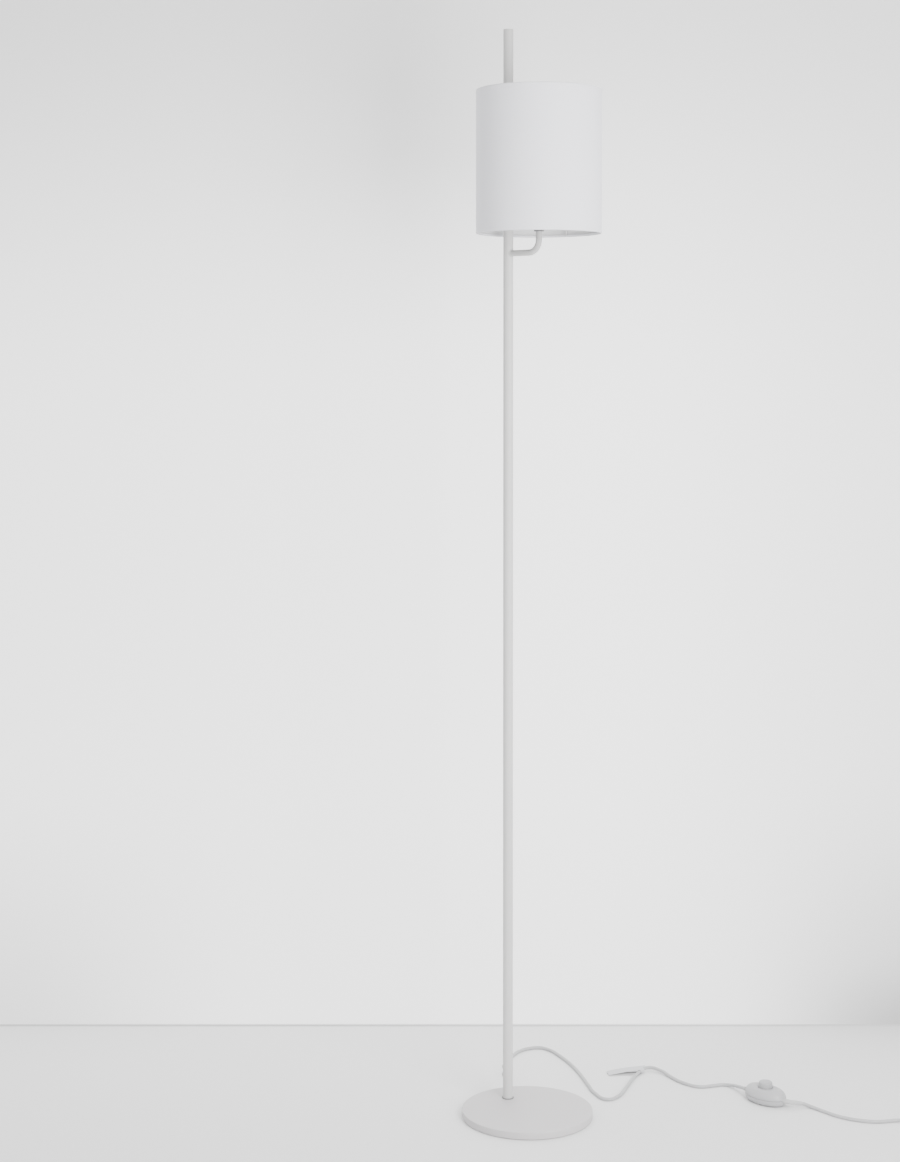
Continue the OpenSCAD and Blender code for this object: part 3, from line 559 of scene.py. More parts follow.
def object_axes(material):
    """The X, Y and Z of the coordinates of a material's piece, as output sockets."""
    tree = material.node_tree
    return add(tree, "SeparateXYZ", Vector=own_place(tree)).outputs


# %% Woven cloth round the shade
DRUM_R, THREAD_DEPTH, THREAD_TONE, SLUB = 100 * MM, 0.12 * MM, 0.06, 0.35
RIM_SHADE_START, RIM_SHADE_FULL = 1.6, 0.4


def cloth_finish(name, colour, pitch, bump, rim=1.0):
    """Woven cloth on the drum, its threads along the curve; near both rims the rim factor darkens its colour
    as painted shade.
    """
    material = finish(name, colour, 0.88, drift=0.03, drift_scale=6, Sheen_Weight=0.2, Sheen_Roughness=0.5)
    tree, sockets = material.node_tree, shader_of(material).inputs
    centred = add(tree, "Mapping", Vector=own_place(tree), Location=(-shade.x * MM, -shade.y * MM, 0))
    flat = add(tree, "Group", node_tree=unroll, Place=centred.outputs[0], Radius=DRUM_R).outputs
    threads = add(tree, "Group", node_tree=weave, Pitch=pitch, Slub=SLUB, Along=flat["Along"],
                  Up=flat["Up"]).outputs
    relief = add(tree, "Bump", Strength=bump, Distance=THREAD_DEPTH, Height=threads["Height"])
    feed(sockets["Normal"], relief.outputs["Normal"])
    toned = add(tree, "Mix", data_type="RGBA", blend_type="MULTIPLY", Factor=THREAD_TONE,
                A=sockets["Base Color"].links[0].from_socket, B=threads["Threads"])
    feed(sockets["Base Color"], toned.outputs["Result"])
    upward = object_axes(material)["Z"]
    # Painted shade: within 1.6 mm of each rim the colour darkens by the rim factor.
    low_rim_shade = ramp(upward, (shade.low + RIM_SHADE_START) * MM, (shade.low + RIM_SHADE_FULL) * MM, 1.0, rim)
    high_rim_shade = ramp(upward, (shade.high - RIM_SHADE_START) * MM, (shade.high - RIM_SHADE_FULL) * MM, 1.0, rim)
    darken(material, maths("MULTIPLY", low_rim_shade, high_rim_shade))
    return material


shade_cloth = cloth_finish("shade_cloth", (0.83, 0.83, 0.875), 0.0007, 0.35)
hem_cloth_rim_shaded = cloth_finish("hem_tape_cloth_rim_shaded", (0.83, 0.83, 0.87), 0.0005, 0.3, rim=0.6)

# %% [markdown]
# ## Tones of the wall and the floor
#
# The wall glows a little: its emission is painted light in place of the lights turned on it, weaker at its
# top, to the right and near its foot, most in its lower corners. Its colour is also darkened near the floor,
# most at the sides and in the lower right corner, as painted shade. The floor's colour is a little darker to
# the right and towards the viewer, also painted shade. The places of these tones are in metres: across from
# the middle of the base plate, and up from the floor's line, half the set's size below the middle of the
# wall.

# %% Wall and floor
FLOOR_LINE = -SET_SIZE / 2
TOP_GLOW, RIGHT_GLOW, FOOT_GLOW_LOSS = 0.22, 0.45, 0.85
MIDDLE_FOOT, LEFT_FOOT, FOOT_SHADE, CORNER_SHADE = 0.15, 0.5, 0.2, 0.25
NEAR_SHADE, RIGHT_SHADE = 0.92, 0.9
matt = dict(drift=0.02, drift_scale=1.2, grain=400, bump=0.03, Specular_IOR_Level=0.2)


def clear_from_behind(material):
    """Lets rays through the back of a panel of the set, so that views from behind stay open."""
    tree = material.node_tree
    choice = add(tree, "MixShader")
    sources = (add(tree, "NewGeometry").outputs["Backfacing"], shader_of(material).outputs[0],
               add(tree, "BsdfTransparent").outputs[0])
    for entrance, source in zip(choice.inputs, sources):
        feed(entrance, source)
    feed(tree.nodes["Material Output"].inputs["Surface"], choice.outputs[0])
    return material


wall_painted_light = finish("wall_painted_light", 0.80, 0.9, Emission_Strength=1.22, **matt)
across, upward, _ = object_axes(wall_painted_light)
top = ramp(upward, FLOOR_LINE + 1.9, FLOOR_LINE + 1.1, TOP_GLOW, 1.0)
foot = ramp(upward, FLOOR_LINE + 0.5, FLOOR_LINE - 0.05, 0.0, 1.0)
right = ramp(across, 0.1, 0.75, 1.0, RIGHT_GLOW)
sides = maths("ADD", ramp(across, -0.45, -0.95, 0.0, LEFT_FOOT), ramp(across, 0.35, 0.75, 0.0, 1.0))
# Painted shade: masks for the wall's darker foot, most at the sides, and its darker lower right corner.
painted_corner_shade = maths("MULTIPLY", ramp(upward, FLOOR_LINE + 0.14, FLOOR_LINE, 0.0, 1.0),
                   ramp(across, 0.4, 0.72, 0.0, 1.0))
painted_foot_shade = maths("MULTIPLY", foot, maths("ADD", sides, MIDDLE_FOOT))
darken(wall_painted_light, less(painted_foot_shade, FOOT_SHADE))
darken(wall_painted_light, less(painted_corner_shade, CORNER_SHADE))
# Painted light: the wall's glow, weaker at the top, to the right and near the floor.
strength = maths("MULTIPLY", top, maths("MULTIPLY", right, less(painted_foot_shade, FOOT_GLOW_LOSS)))
glow = add(wall_painted_light.node_tree, "CombineColor", Red=strength, Green=strength, Blue=strength)
feed(shader_of(wall_painted_light).inputs["Emission Color"], glow.outputs[0])
floor_pale = finish("floor_pale", 0.84, 0.8, **matt)
across, away, _ = object_axes(floor_pale)
# Painted shade: the floor's colour is darker towards the viewer and to the right.
darken(floor_pale, ramp(away, 0.35, -0.35, 1.0, NEAR_SHADE))
darken(floor_pale, ramp(across, -0.8, 0.8, 1.0, RIGHT_SHADE))
paint(floor, floor_pale)
paint(wall, clear_from_behind(wall_painted_light))
paint(shadow_strip, clear_from_behind(finish("painted_shadow_line", 0.60, 0.9)))
dress(cord_to_switch, "cord_lamp_run", sheath)
dress(cord_to_plug, "cord_plug_run cord_coil cord_tail", sheath)

# %% [markdown]
# ## The light
#
# A tall window stands in front of the lamp on the right and a weak one on the left, each turned to
# the lamp at its own height. A tall light wraps over the shade's rim, so the pole above the shade
# stays even and no hard shadow falls on the wall. The rest is the bright room, and most of its light
# comes from the ceiling.

# %% Windows and room
WINDOW_SIZE, AIM_Y = (0.8, 1.5), 0.05
for name, place, power in (("window_right", (0.74, -1.3, 1.1), 56), ("window_left", (-1.0, -1.35, 0.95), 1)):
    data = bpy.data.lights.new(name, "AREA")
    data.shape = "RECTANGLE"
    data.size, data.size_y = WINDOW_SIZE
    data.energy = power
    light = new_object(name, data)
    light.location = place
    towards = Vector((0, AIM_Y, place[2])) - Vector(place)
    light.rotation_euler = towards.to_track_quat("-Z", "Y").to_euler()
HORIZON, CEILING = 0.68, 2.1
room = bpy.data.worlds.new("bright_room")
bpy.context.scene.world = room
room.use_nodes = True
room_tree = room.node_tree
direction = add(room_tree, "TexCoord").outputs["Generated"]
steepness = add(room_tree, "SeparateXYZ", Vector=direction).outputs["Z"]
brightness = maths("MULTIPLY_ADD", maths("MAXIMUM", steepness, 0.0), CEILING - HORIZON, HORIZON)
background = room_tree.nodes["Background"].inputs
feed(background["Color"], (1, 1, 1, 1))
feed(background["Strength"], brightness)

# %% [markdown]
# ## Base plate
#
# A heavy disc cut from 11 mm plate, with its upper edge broken by a small radius and a soft pad
# under it. It is turned from rings: out along the underside, up the side and round the edge. A thin
# dark ring seals the pole's foot.

# %% Base plate and foot ring
EDGE, LOWER_EDGE, RING_EDGE = 1.2, 0.4, 0.3
base_profile = (corner(plate.half_x - LOWER_EDGE, LOWER_EDGE, plate.low + LOWER_EDGE, -90, 0, 3)
                + corner(plate.half_x - EDGE, EDGE, plate.high - EDGE, 0, 90, 6))
base = settle(turned("base_disc", base_profile, segments=192, at=(plate.x, plate.y)))
dress(base, "base_plate", plate_coat_tint_and_shade)
ring_spot = spot("foot_ring")
ring_profile = [(ring_spot.half_x, ring_spot.low)]
ring_profile += corner(ring_spot.half_x - RING_EDGE, RING_EDGE, ring_spot.high - RING_EDGE, 0, 90, 3)
foot = settle(turned("foot_gasket_ring", ring_profile, segments=64, at=(pole.x, pole.y)))
dress(foot, "foot_ring", gasket)
tell(base)

# %% [markdown]
# ## Pole
#
# Four tubes of 16 mm are screwed together end to end, so the joints show only as hairlines. Each
# tube has small worn edges at its ends, and those edges draw the hairline. The cap on top is flush.

# %% Pole sections and cap
WALL_T, WEAR, CAP_LIP, CAP_EDGE = 1.2, 0.25, 1.5, 0.5
POLE = (pole.x, pole.y)
bore, outer = pole.half_x - WALL_T, pole.half_x
for node in ("pole_lower", "pole_second", "pole_third", "pole_upper"):
    low, high = spot(node).low, spot(node).high
    section = hollow("tube_" + node, [
        (bore, low + WEAR), (bore + WEAR, low), (outer - WEAR, low), (outer, low + WEAR),
        (outer, high - WEAR), (outer - WEAR, high), (bore + WEAR, high), (bore, high - WEAR)], 64, POLE)
    dress(settle(section), node, powder_coat)
top = spot("pole_cap")
neck_r, shoulder = bore - 0.05, top.high - CAP_LIP
cap_profile = [(neck_r, top.low), (neck_r, shoulder), (pole.half_x - 0.1, shoulder)]
cap_profile += corner(pole.half_x - CAP_EDGE, CAP_EDGE, top.high - CAP_EDGE, 0, 90, 4)
cap = settle(turned("pole_top_cap", cap_profile, segments=64, at=POLE))
dress(cap, "pole_cap", powder_coat)
print("pole reaches", top.high, "mm")

# %% [markdown]
# ## Arm
#
# The arm is one bent tube, welded to the pole's front right side, that turns up into the lamp
# holder. A circle is extruded level, spun through the quarter bend and extruded up. A rounded weld
# bead, wrapped on the pole, closes the joint under the paint.

# %% Bent arm
ARM_R, ARM_BEND, ARM_START = 5.0, 20.0, 7.2
arm_spot = spot("arm")
arm_level = arm_spot.low + ARM_R
arm_turn = math.atan2(holder.y - pole.y, holder.x - pole.x)


def bent_rod(name, radius, start, reach, level, bend, end, segments):
    """A level rod along +X from start, a quarter bend, and an upright stretch at reach to end."""
    bpy.ops.mesh.primitive_circle_add(vertices=segments, radius=radius * MM, fill_type="NGON",
                                      location=(start * MM, 0, level * MM), rotation=(0, UPRIGHT, 0))
    piece = bake(made(name))
    way = 1 if end > level else -1
    centre = ((reach - bend) * MM, 0, (level + way * bend) * MM)
    extrude = bpy.ops.mesh.extrude_region_move
    with editing():
        extrude(TRANSFORM_OT_translate={"value": ((reach - bend - start) * MM, 0, 0)})
        bpy.ops.mesh.spin(steps=16, angle=way * UPRIGHT, axis=(0, 1, 0), center=centre)
        extrude(TRANSFORM_OT_translate={"value": (0, 0, end * MM - centre[2])})
    return piece


arm_reach = math.hypot(holder.x - pole.x, holder.y - pole.y)
arm = bent_rod("bent_arm", ARM_R, ARM_START, arm_reach, arm_level, ARM_BEND, arm_spot.high, 40)
dress(settle(swing(arm, arm_turn, *POLE)), "arm", arm_coat_painted_shade)
tell(arm)

# %% Weld bead
BEAD_R = 1.0
bpy.ops.mesh.primitive_torus_add(
    major_radius=(ARM_R + 0.3) * MM, minor_radius=BEAD_R * MM, major_segments=48, minor_segments=12,
    location=((pole.half_x + 0.1) * MM, 0, arm_level * MM), rotation=(0, UPRIGHT, 0))
bead = bake(made("weld_bead"))
for vertex in bead.data.vertices:
    vertex.co.x += math.sqrt((pole.half_x * MM) ** 2 - vertex.co.y ** 2) - pole.half_x * MM
dress(settle(swing(bead, arm_turn, *POLE)), "arm_weld", arm_coat_painted_shade)

# %% [markdown]
# ## Lamp holder and bulb
#
# Under the shade one looks up at a conical cap with a flat lock nut, the holder's barrel with its
# two clamp rings, and a round opal bulb. All are round pieces, turned from rings. The clamp rings
# get a ribbed rim: every third face of the rim is inset and pressed in a little.

# %% Holder cap and barrel
AXIS = (holder.x, holder.y)
cone = spot("holder_cap")
cone_levels = [(ARM_R + 0.05, cone.low)] + corner(9.0, 0.5, cone.low + 0.5, -90, 0, 3)
cone_levels += [(10.6, cone.low + 2.5), (18.6, cone.low + 12.9)]
cone_levels += corner(18.9, 1.1, cone.low + 14.1, -20, 0, 3)
cone_levels += [(cone.half_x, cone.high - 0.3), (cone.half_x - 0.4, cone.high)]
holder_cap = settle(turned("holder_cone", cone_levels, at=AXIS))
dress(holder_cap, "holder_cap", holder_white)
MOUTH_R, BORE_R = 15.7, 18.0
barrel_levels = [(BORE_R + 0.2, holder.low), (holder.half_x - 0.3, holder.low),
                 (holder.half_x, holder.low + 0.3)]
barrel_levels += corner(holder.half_x - 1.1, 1.1, holder.high - 1.1, 0, 90, 5)
barrel_levels += [(MOUTH_R, holder.high), (MOUTH_R, holder.high - 3), (BORE_R, holder.high - 3),
                  (BORE_R, holder.low + 0.5)]
barrel = settle(hollow("holder_barrel", barrel_levels, at=AXIS))
dress(barrel, "holder_shell", holder_white)

# %% Clamp rings with ribbed rims
RIM_FACES, RIM_FLOOR, CLAMP_BORE = 120, 25.5, 20.1


def on_rim(middle, face):
    """True for every third upright face of the rim."""
    turn = math.degrees(math.atan2(middle.y, middle.x)) % 360
    outside = abs(face.normal.z) < 0.2 and middle.xy.length > RIM_FLOOR * MM
    return outside and int(turn * RIM_FACES / 360) % 3 == 0


def pair(lower_ring, upper_name, nodes, material):
    """Copies a ring up to its upper node's place and dresses both for their nodes."""
    low, high = (spot(node).low for node in nodes)
    upper_ring = copy_of(lower_ring, upper_name, (0, 0, high - low))
    for ring, node in zip((lower_ring, upper_ring), nodes):
        dress(ring, node, material)


low_clamp = spot("clamp_ring_lower")
outer, height = low_clamp.half_x, low_clamp.high - low_clamp.low
clamp_levels = [(CLAMP_BORE, 0), (outer - 0.5, 0), (outer, 0.5), (outer, height - 0.5),
                (outer - 0.5, height), (CLAMP_BORE, height)]
clamp = hollow("ribbed_clamp_ring_lower", raised(clamp_levels, low_clamp.low), RIM_FACES)
with editing():
    pressed = choose(clamp, on_rim, "faces")
    bpy.ops.mesh.inset(thickness=0.12 * MM, depth=-0.4 * MM)
settle(swing(clamp, 0, *AXIS), 25)
pair(clamp, "ribbed_clamp_ring_upper", ("clamp_ring_lower", "clamp_ring_upper"),
     holder_white)
print("each clamp ring has", pressed, "grooves")

# %% Lock nut
nut_spot = spot("arm_locknut")
nut_level = (nut_spot.high + nut_spot.low) / 2
bpy.ops.mesh.primitive_cylinder_add(
    vertices=6, radius=nut_spot.half_x * MM, depth=(nut_spot.high - nut_spot.low) * MM,
    location=(holder.x * MM, holder.y * MM, nut_level * MM), rotation=(0, 0, UPRIGHT))
nut = modify(made("flat_lock_nut"), "BEVEL", width=0.4 * MM, segments=3, limit_method="ANGLE")
dress(settle(nut, 30), "arm_locknut", black_zinc)

# %% Bulb
GLOBE_FOOT_R, CREST_R, ROOT_R, HALF_PITCH, HALF_TURNS = 27.0, 13.2, 12.5, 1.15, 18
globe_spot, neck_spot, thread_spot = spot("bulb_globe"), spot("bulb_housing"), spot("bulb_cap")
globe_r = globe_spot.half_x
globe_levels = [(GLOBE_FOOT_R, globe_spot.low)]
globe_levels += corner(0, globe_r, globe_spot.high - globe_r, -20, 88, 18)
globe = settle(turned("opal_bulb_globe", globe_levels + [(0.4, globe_spot.high)], at=AXIS), 60)
dress(globe, "bulb_globe", opal)
neck_levels = [(13.4, 0.1), (14.2, 0.1), (14.8, 2.9), (16.2, 10.4), (18.8, 18.4), (22.2, 26.4), (25.4, 33.9),
               (26.9, 38.2), (GLOBE_FOOT_R, neck_spot.high - neck_spot.low)]
neck = turned("bulb_neck", raised(neck_levels, neck_spot.low), at=AXIS)
dress(settle(neck, 60), "bulb_housing", bulb_white)
thread_levels = [(6.0, 0), (12.0, 3.9)]
thread_levels += [(CREST_R if half_turn % 2 else ROOT_R, 5 + HALF_PITCH * half_turn)
                  for half_turn in range(HALF_TURNS)]
thread_levels += [(CREST_R, thread_spot.high - thread_spot.low - 0.2)]
thread_cap = settle(turned("bulb_thread", raised(thread_levels, thread_spot.low), 64, AXIS), 80)
dress(thread_cap, "bulb_cap", cap_metal)

# %% [markdown]
# ## Shade frame
#
# The shade hangs on a wire spider: a flat ring between the clamp rings, three spokes, and a wire
# ring at each edge. The spokes bend down along the cloth and are welded to the lower ring.

# %% Wire rings
WIRE_R = 1.4
low_wire = spot("shade_bottom_ring")
bpy.ops.mesh.primitive_torus_add(
    major_radius=(low_wire.half_x - WIRE_R) * MM, minor_radius=WIRE_R * MM, major_segments=160,
    minor_segments=14, location=(shade.x * MM, shade.y * MM, (low_wire.low + low_wire.high) / 2 * MM))
wire = settle(made("wire_shade_bottom_ring"), 80)
pair(wire, "wire_shade_top_ring", ("shade_bottom_ring", "shade_top_ring"), wire_enamel)

# %% Spider
SPOKE_R, SPOKE_BEND, SPOKE_REACH = 1.25, 4.0, 94.65
PLATE_HALF, PLATE_BORE, PLATE_R = 0.75, 20.4, 29.0
spider_spot = spot("shade_spider")
spoke_level = spider_spot.high - SPOKE_R
spoke_end = spider_spot.low + 0.5
spider = band("spider_plate", PLATE_BORE, PLATE_R, spoke_level - PLATE_HALF, spoke_level + PLATE_HALF,
              at=AXIS)
spoke = bent_rod("spoke", SPOKE_R, PLATE_R - 1, SPOKE_REACH, spoke_level, SPOKE_BEND, spoke_end, 16)
spokes = [spoke, copy_of(spoke, "spoke_left"), copy_of(spoke, "spoke_front")]
for piece, turn in zip(spokes, (60, 180, 300)):
    swing(piece, math.radians(turn), *AXIS)
bake(spider)
pick(spider, *spokes)
bpy.ops.object.join()
dress(settle(spider, 40), "shade_spider", wire_enamel)
tell(spider)

# %% [markdown]
# ## Shade cover, lining and edge tapes
#
# The drum is a strip of cloth laminated on stiff film, rolled round and lapped at the back. A narrow tape is
# rolled over each wire ring with the cover's edge, so each rim is softly rounded. The tape's colour darkens
# towards each rim as painted shade, which shows as a fine grey line.

# %% Cover and lining
ROLL_R, COVER_T = 2.4, 0.5
SHADE = (shade.x, shade.y)
cover_low, cover_high = shade.low + 0.3, shade.high - 0.3
skins = (("shade_cover", "shade_fabric", shade.half_x, "shade_textile", shade_cloth),
         ("shade_lining_film", "shade_liner", shade.half_x - COVER_T - 0.02, "shade_lining", lining))
for name, node, outer, slot_name, material in skins:
    skin = band(name, outer - COVER_T + 0.02, outer, cover_low, cover_high, 192, SHADE)
    dress(settle(skin), node, material)

# %% Rolled edge tapes
TAPE_R, TAPE_T, TAPE_W, TUCK_R, TUCK_END = 100.3, 0.25, 6.0, 2.0, 3.2
roll_axis = TAPE_R - ROLL_R
inside = roll_axis - TUCK_R
tape_outline = [(TAPE_R - TAPE_T, TAPE_W), (TAPE_R - 0.02, TAPE_W - 0.15), (TAPE_R, TAPE_W - 0.5)]
tape_outline += corner(roll_axis, ROLL_R, ROLL_R, 0, -90, 7)
tape_outline += corner(roll_axis, TUCK_R, TUCK_R, -90, -180, 5)[1:]
tape_outline += [(inside, TUCK_END), (inside + 0.1, TUCK_END + 0.1), (inside + TAPE_T, TUCK_END)]
tape_outline += corner(roll_axis, TUCK_R - TAPE_T, TUCK_R, -180, -90, 5)
tape_outline += corner(roll_axis, ROLL_R - TAPE_T, ROLL_R, -90, 0, 7)[1:]
for node, way in (("hem_bottom", 1), ("hem_top", -1)):
    here = spot(node)
    rim = here.low if way > 0 else here.high
    tape = hollow("rolled_" + node, raised(tape_outline, rim, way), 192, SHADE)
    dress(settle(tape, 50), node, hem_cloth_rim_shaded)

# %% [markdown]
# ## Foot switch
#
# The switch is a flat oval of two moulded halves. The seam between them is a small groove, the top
# is softly domed, and the round button stands in a dished hole in the middle. Each ring of the oval
# is an extrusion scaled by two numbers, so the oval can turn into the round hole at the top.

# %% Switch halves
SWITCH = (button_spot.x, button_spot.y)
SWITCH_TURN = math.radians(-46)
HALF_LONG, HALF_WIDE = 37.5, 24.0


def oval(name, node, levels, hole_levels=()):
    """Half of the switch from (draw-in, rise) levels, with round levels on top if it has a hole."""
    low = spot(node).low
    ovals = [(HALF_LONG - draw, HALF_WIDE - draw, low + rise) for draw, rise in levels]
    rounds = [(radius, radius, low + rise) for radius, rise in hole_levels]
    half = swing(rings(name, ovals + rounds, caps=not rounds), SWITCH_TURN, *SWITCH)
    return dress(settle(half, 40), node, switch_white)


belly = [(5.6, 0.0), (4.9, 0.05), (3.2, 1.0), (1.7, 2.5), (0.7, 5.0), (0.15, 8.2), (0.05, 9.1), (0.4, 9.5),
         (1.0, 9.65)]
dome = [(1.0, 0.1), (0.4, 0.2), (0.0, 0.6), (0.15, 2.2), (0.7, 4.4), (1.6, 6.6), (2.9, 8.7), (4.6, 10.5),
        (6.6, 11.9), (8.6, 12.9), (10.2, 13.35)]
dish = [(13.2, 13.5), (12.7, 13.45), (12.2, 13.1), (11.6, 12.0), (11.3, 11.2), (11.3, 8.8)]
switch_low = oval("switch_lower_half", "switch_base", belly)
switch_top = oval("switch_upper_half", "switch_cover", dome, dish)

# %% Button
button_levels = [(10.9, 14.1), (10.9, 13.5), (11.0, 13.0), (11.0, 3.2), (10.8, 2.0), (10.2, 1.1), (9.2, 0.5),
                 (7.6, 0.15), (5.0, 0.03), (2.0, 0.0)]
button = turned("round_foot_button", raised(button_levels, button_spot.high, -1), 72, SWITCH)
dress(settle(button, 50), "switch_button", button_white, body="switch_button")

# %% [markdown]
# ## Strain reliefs
#
# Soft sleeves protect the cord where it enters a housing. They taper towards the cord and carry
# shallow grooves, so that they bend evenly. They are turned from rings along Z and then laid over,
# and the one that bends is swept along a short curve.


# %% Grooved sleeve
def sleeve_levels(length, thick, thin, grooves, depth=0.55):
    """Levels of a tapered sleeve with evenly spaced grooves, from its thick end."""
    levels = [(thick - 0.5, 0.0), (thick, 0.4)]
    step = (length - 3.0) / grooves
    for groove in range(grooves):
        height = 1.6 + groove * step
        here = thick + (thin - thick) * height / length
        floor_r = here - depth
        levels += [(here, height), (floor_r, height + 0.15 * step), (floor_r, height + 0.35 * step),
                   (here - 0.1, height + 0.5 * step)]
    return levels + [(thin, length - 0.6), (thin - 0.3, length)]


def lay_sleeve(name, node, levels, place, direction, segments=48):
    """Turns a soft sleeve from its levels, lays it along a direction from a place and dresses it."""
    sleeve = lay_along(turned(name, levels, segments), place, direction)
    return dress(settle(sleeve, 40), node, soft_white)


# %% Sleeves at the pole and the switch
THICK, THIN = 4.2, 3.2
RELIEF_OUT, INLET_OUT, OUTLET_OUT, OUTLET_BEND = 11.0, 23.5, 31.0, 37.0
way_out = (Vector(lamp_points[1]) - Vector(lamp_points[0])).normalized()
pole_exit = Vector((pole.x, pole.y, lamp_points[0][2]))
relief = lay_sleeve("pole_strain_relief", "cord_relief", sleeve_levels(22, 4.5, THIN, 5),
                    pole_exit + way_out * RELIEF_OUT, way_out)
bush_levels = [(7.0, -2.0), (7.7, -1.6), (8.0, -1.0), (8.0, 1.6), (7.6, 2.5), (6.8, 3.0), (5.2, 3.0),
               (4.6, 2.6), (4.4, 1.6)]
lay_sleeve("pole_cord_bush", "cord_bushing", bush_levels, pole_exit + way_out * pole.half_x, way_out, 64)
along = heading(SWITCH_TURN)
port = Vector((*SWITCH, lamp_points[-1][2]))
relief_in = lay_sleeve("switch_inlet_relief", "switch_relief_in", sleeve_levels(20, THICK, THIN, 5, 0.45),
                       port - along * INLET_OUT, -along)

# %% Bent sleeve behind the switch
bend_points = [tuple(port + along * OUTLET_OUT), tuple(port + along * OUTLET_BEND), (420.3, 33.3, 10.9),
               (426.2, 32.3, 10.3), (432, 33.8, 9.3), (437.5, 36, 8), plug_points[0]]
relief_out = lay_cord("switch_outlet_relief", bend_points, THICK, THIN)[0]
pick(relief_out)
bpy.ops.object.convert(target="MESH")
dress(settle(relief_out, 60), "switch_relief_out", soft_white)

# %% [markdown]
# ## Paper flag
#
# A blank strip of coated paper is folded round the cord, and its two halves lie on each other as a flag. The
# halves aren't glued along their sides: the lower one lies on the floor and the upper one stands a little
# off it. The dark slit between them is painted shade on the lower half's front strip.

# %% Paper flag
FLAG_L, FLAG_W, FLAG_TURN, FLAG_SLANT = 56.0, 16.0, math.radians(188.3), 0.8
CORD_TURN, CORD_RISE, LOOP_LEVEL = math.radians(55.3), 0.068, 4.8
SLIT_REACH, SLIT_FADE, SLIT_SHADE = 5.5, 2, 0.12
flag_root = Vector((199.3, 195.3, 0))
flag_along = heading(FLAG_TURN)
flag_across = Vector((-flag_along.y, flag_along.x, 0))


def paper_sheet(name, shift, height_of, material):
    """One half of the flag: a fine grid laid along the flag, its height given by a rule."""
    bpy.ops.mesh.primitive_grid_add(x_subdivisions=28, y_subdivisions=8, size=1)
    sheet = made(name)
    for vertex in sheet.data.vertices:
        share, across = vertex.co.x + 0.5, vertex.co.y * FLAG_W + shift
        far = FLAG_L * share + FLAG_SLANT * across * (1 - share) ** 2
        place = flag_root + flag_along * far + flag_across * across
        place.z = height_of(share, vertex.co.y)
        vertex.co = place * MM
    modify(sheet, "SOLIDIFY", thickness=0.22 * MM, offset=0)
    return dress(settle(sheet, 30), "", material)


def upper_height(share, side):
    """The upper half comes down from the cord, bulges a little, and leans towards the viewer."""
    return 8.3 - 9.6 * share + 3.2 * share ** 2 + 1.6 * math.sin(math.pi * share) - 1.8 * side


def lower_height(share, side):
    """The lower half drops from under the cord and lies on the floor."""
    return 0.5 + 1.2 * max(0, 1 - 4 * share) ** 2


# Painted shade: the lower half's colour darkens along its front strip, under the upper half's edge, to draw
# the slit.
paper_tree = paper_painted_slit_shade.node_tree
toward = add(paper_tree, "VectorMath", operation="DOT_PRODUCT", Vector=own_place(paper_tree))
toward.inputs[1].default_value = flag_across
front = flag_root.dot(flag_across) - SLIT_REACH
darken(paper_painted_slit_shade, ramp(toward.outputs["Value"], front * MM, (front + SLIT_FADE) * MM, SLIT_SHADE, 1.0))
flag_upper = paper_sheet("paper_flag_upper", -6.0, upper_height, paper)
flag_lower = paper_sheet("paper_flag_lower", -3.0, lower_height, paper_painted_slit_shade)
loop_levels = [(3.3, -4.5), (3.75, -4.5), (3.8, -4.3), (3.8, 5.3), (3.75, 5.5), (3.3, 5.5)]
loop = lay_along(hollow("paper_flag_loop", loop_levels, 40), (flag_root.x, flag_root.y, LOOP_LEVEL),
                 heading(CORD_TURN, CORD_RISE))
dress(settle(loop, 30), "cord_tag", paper)

# %% [markdown]
# ## Plug
#
# A flat two-pin plug: a moulded block with rounded long edges that narrows towards its strain
# relief, and two pins whose roots are sleeved. A cube is cut into slices, its back end is scaled
# in, and a bevel rounds the long edges.

# %% Plug body
PLUG_L, PLUG_T = 36.0, 13.9
plug_level = (plug_spot.low + plug_spot.high) / 2
plug_back = plug_spot.y - plug_spot.half_y
bpy.ops.mesh.primitive_cube_add(
    size=1, location=Vector((plug_spot.x, plug_back + PLUG_L / 2, plug_level)) * MM,
    scale=Vector((2 * plug_spot.half_x, PLUG_L, PLUG_T)) * MM)
plug = bake(made("flat_plug_body"))
for depth in (6, 12, 20):
    with editing():
        bpy.ops.mesh.bisect(plane_co=(0, (plug_back + depth) * MM, 0), plane_no=(0, 1, 0))
for depth, wide, high in ((0, 0.40, 0.86), (6, 0.62, 0.93), (12, 0.86, 0.98)):
    cut = (plug_back + depth) * MM
    with editing():
        choose(plug, lambda co, item: abs(co.y - cut) < MM / 100)
        bpy.ops.transform.resize(value=(wide, 1, high),
                                 center_override=(plug_spot.x * MM, cut, plug_level * MM))
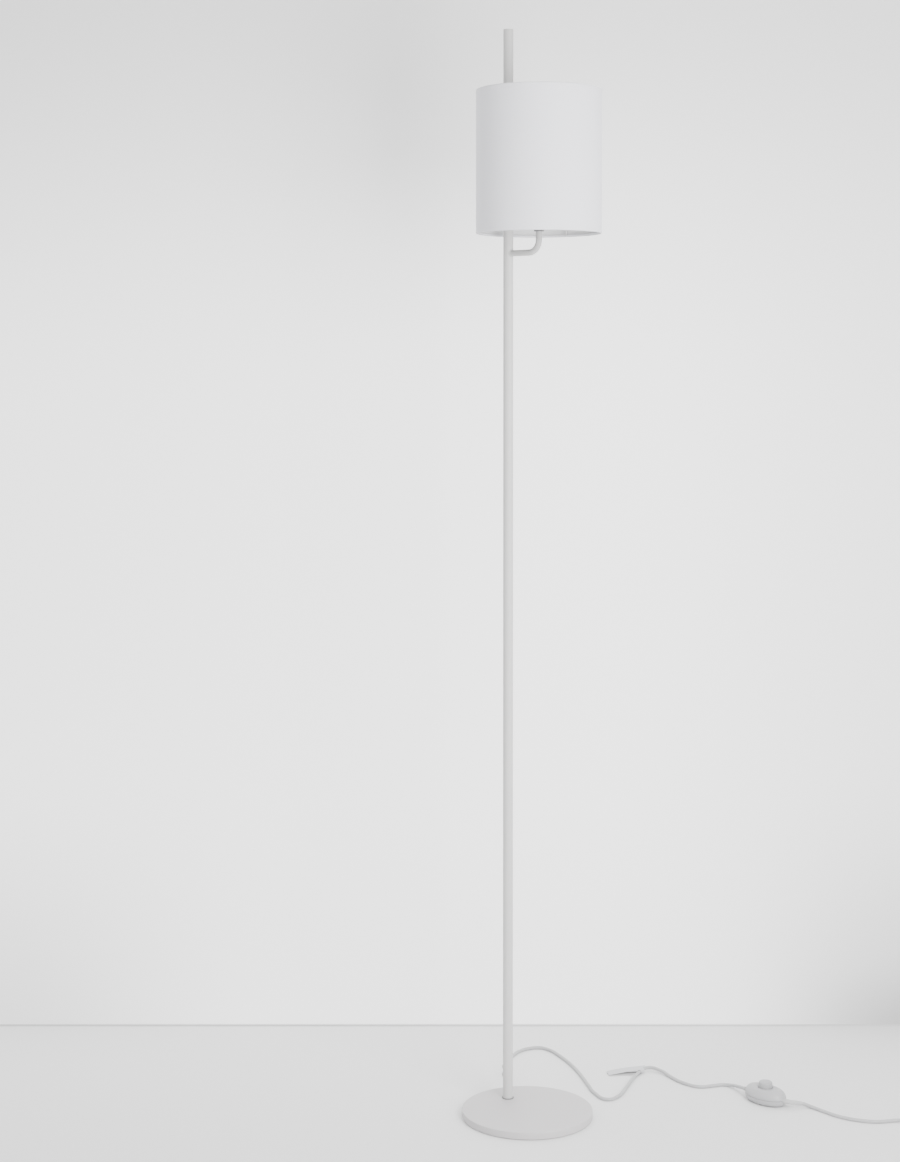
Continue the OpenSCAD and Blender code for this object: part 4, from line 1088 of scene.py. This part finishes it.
modify(plug, "BEVEL", width=4.2 * MM, segments=5, limit_method="ANGLE", angle_limit=math.radians(50))
dress(settle(plug, 40), "plug_body", plug_white)

# %% Plug relief, pin sleeves and pins
PIN_SPACING, PIN_R, SLEEVE_R, SLEEVE_L, PIN_L = 18.6, 2.0, 1.7, 10.0, 19.0
plug_relief = lay_sleeve("plug_strain_relief", "plug_relief", sleeve_levels(24, 5.5, THIN, 6),
                         (plug_spot.x, plug_back, plug_level), (0, -1, 0))
pin_root = (plug_spot.x - PIN_SPACING / 2, plug_back + PLUG_L, plug_level)
sleeve_profile = [(SLEEVE_R, -1.0), (SLEEVE_R, SLEEVE_L - 0.2), (SLEEVE_R - 0.15, SLEEVE_L)]
pin_profile = [(1.4, 0), (1.4, SLEEVE_L - 0.1), (PIN_R, SLEEVE_L), (PIN_R, PIN_L - 1.4), (1.8, PIN_L - 0.6),
               (1.3, PIN_L - 0.1), (0.6, PIN_L)]
plug_pieces = [plug, plug_relief]
for name, profile, nodes, slot_name, material in (
        ("pin_sleeve", sleeve_profile, "", "plug_plastic", plug_white),
        ("round_pin", pin_profile, "plug_pins", "pin_metal", nickel)):
    left = settle(lay_along(turned(name + "_left", profile, 32), pin_root, (0, 1, 0)), 40)
    right = copy_of(left, name + "_right", (PIN_SPACING, 0, 0))
    plug_pieces += [dress(left, nodes, material), dress(right, "", material)]

# %% [markdown]
# ## Pieces that stay as they are
#
# Bolts, couplings, contacts, the other inner pieces and the shade's seam already have their right
# shape, so they only get their finish.

# %% Finishes for the remaining nodes
kept = {
    zinc: "base_bolt base_washer foot_insert pole_joint_low pole_joint_mid pole_joint_high switch_spring "
          "switch_screws",
    brass: "holder_sleeve holder_contact bulb_eyelet switch_terminals", foam: "base_pad",
    glazed: "holder_insulator", sheath: "inner_cable", resin: "switch_block", rubber: "switch_feet",
    shade_cloth: "shade_seam",
}
for material, names in kept.items():
    for name in names.split():
        paint(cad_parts[name], material)
    print(material.name, "on", names)

bpy.context.view_layer.update()
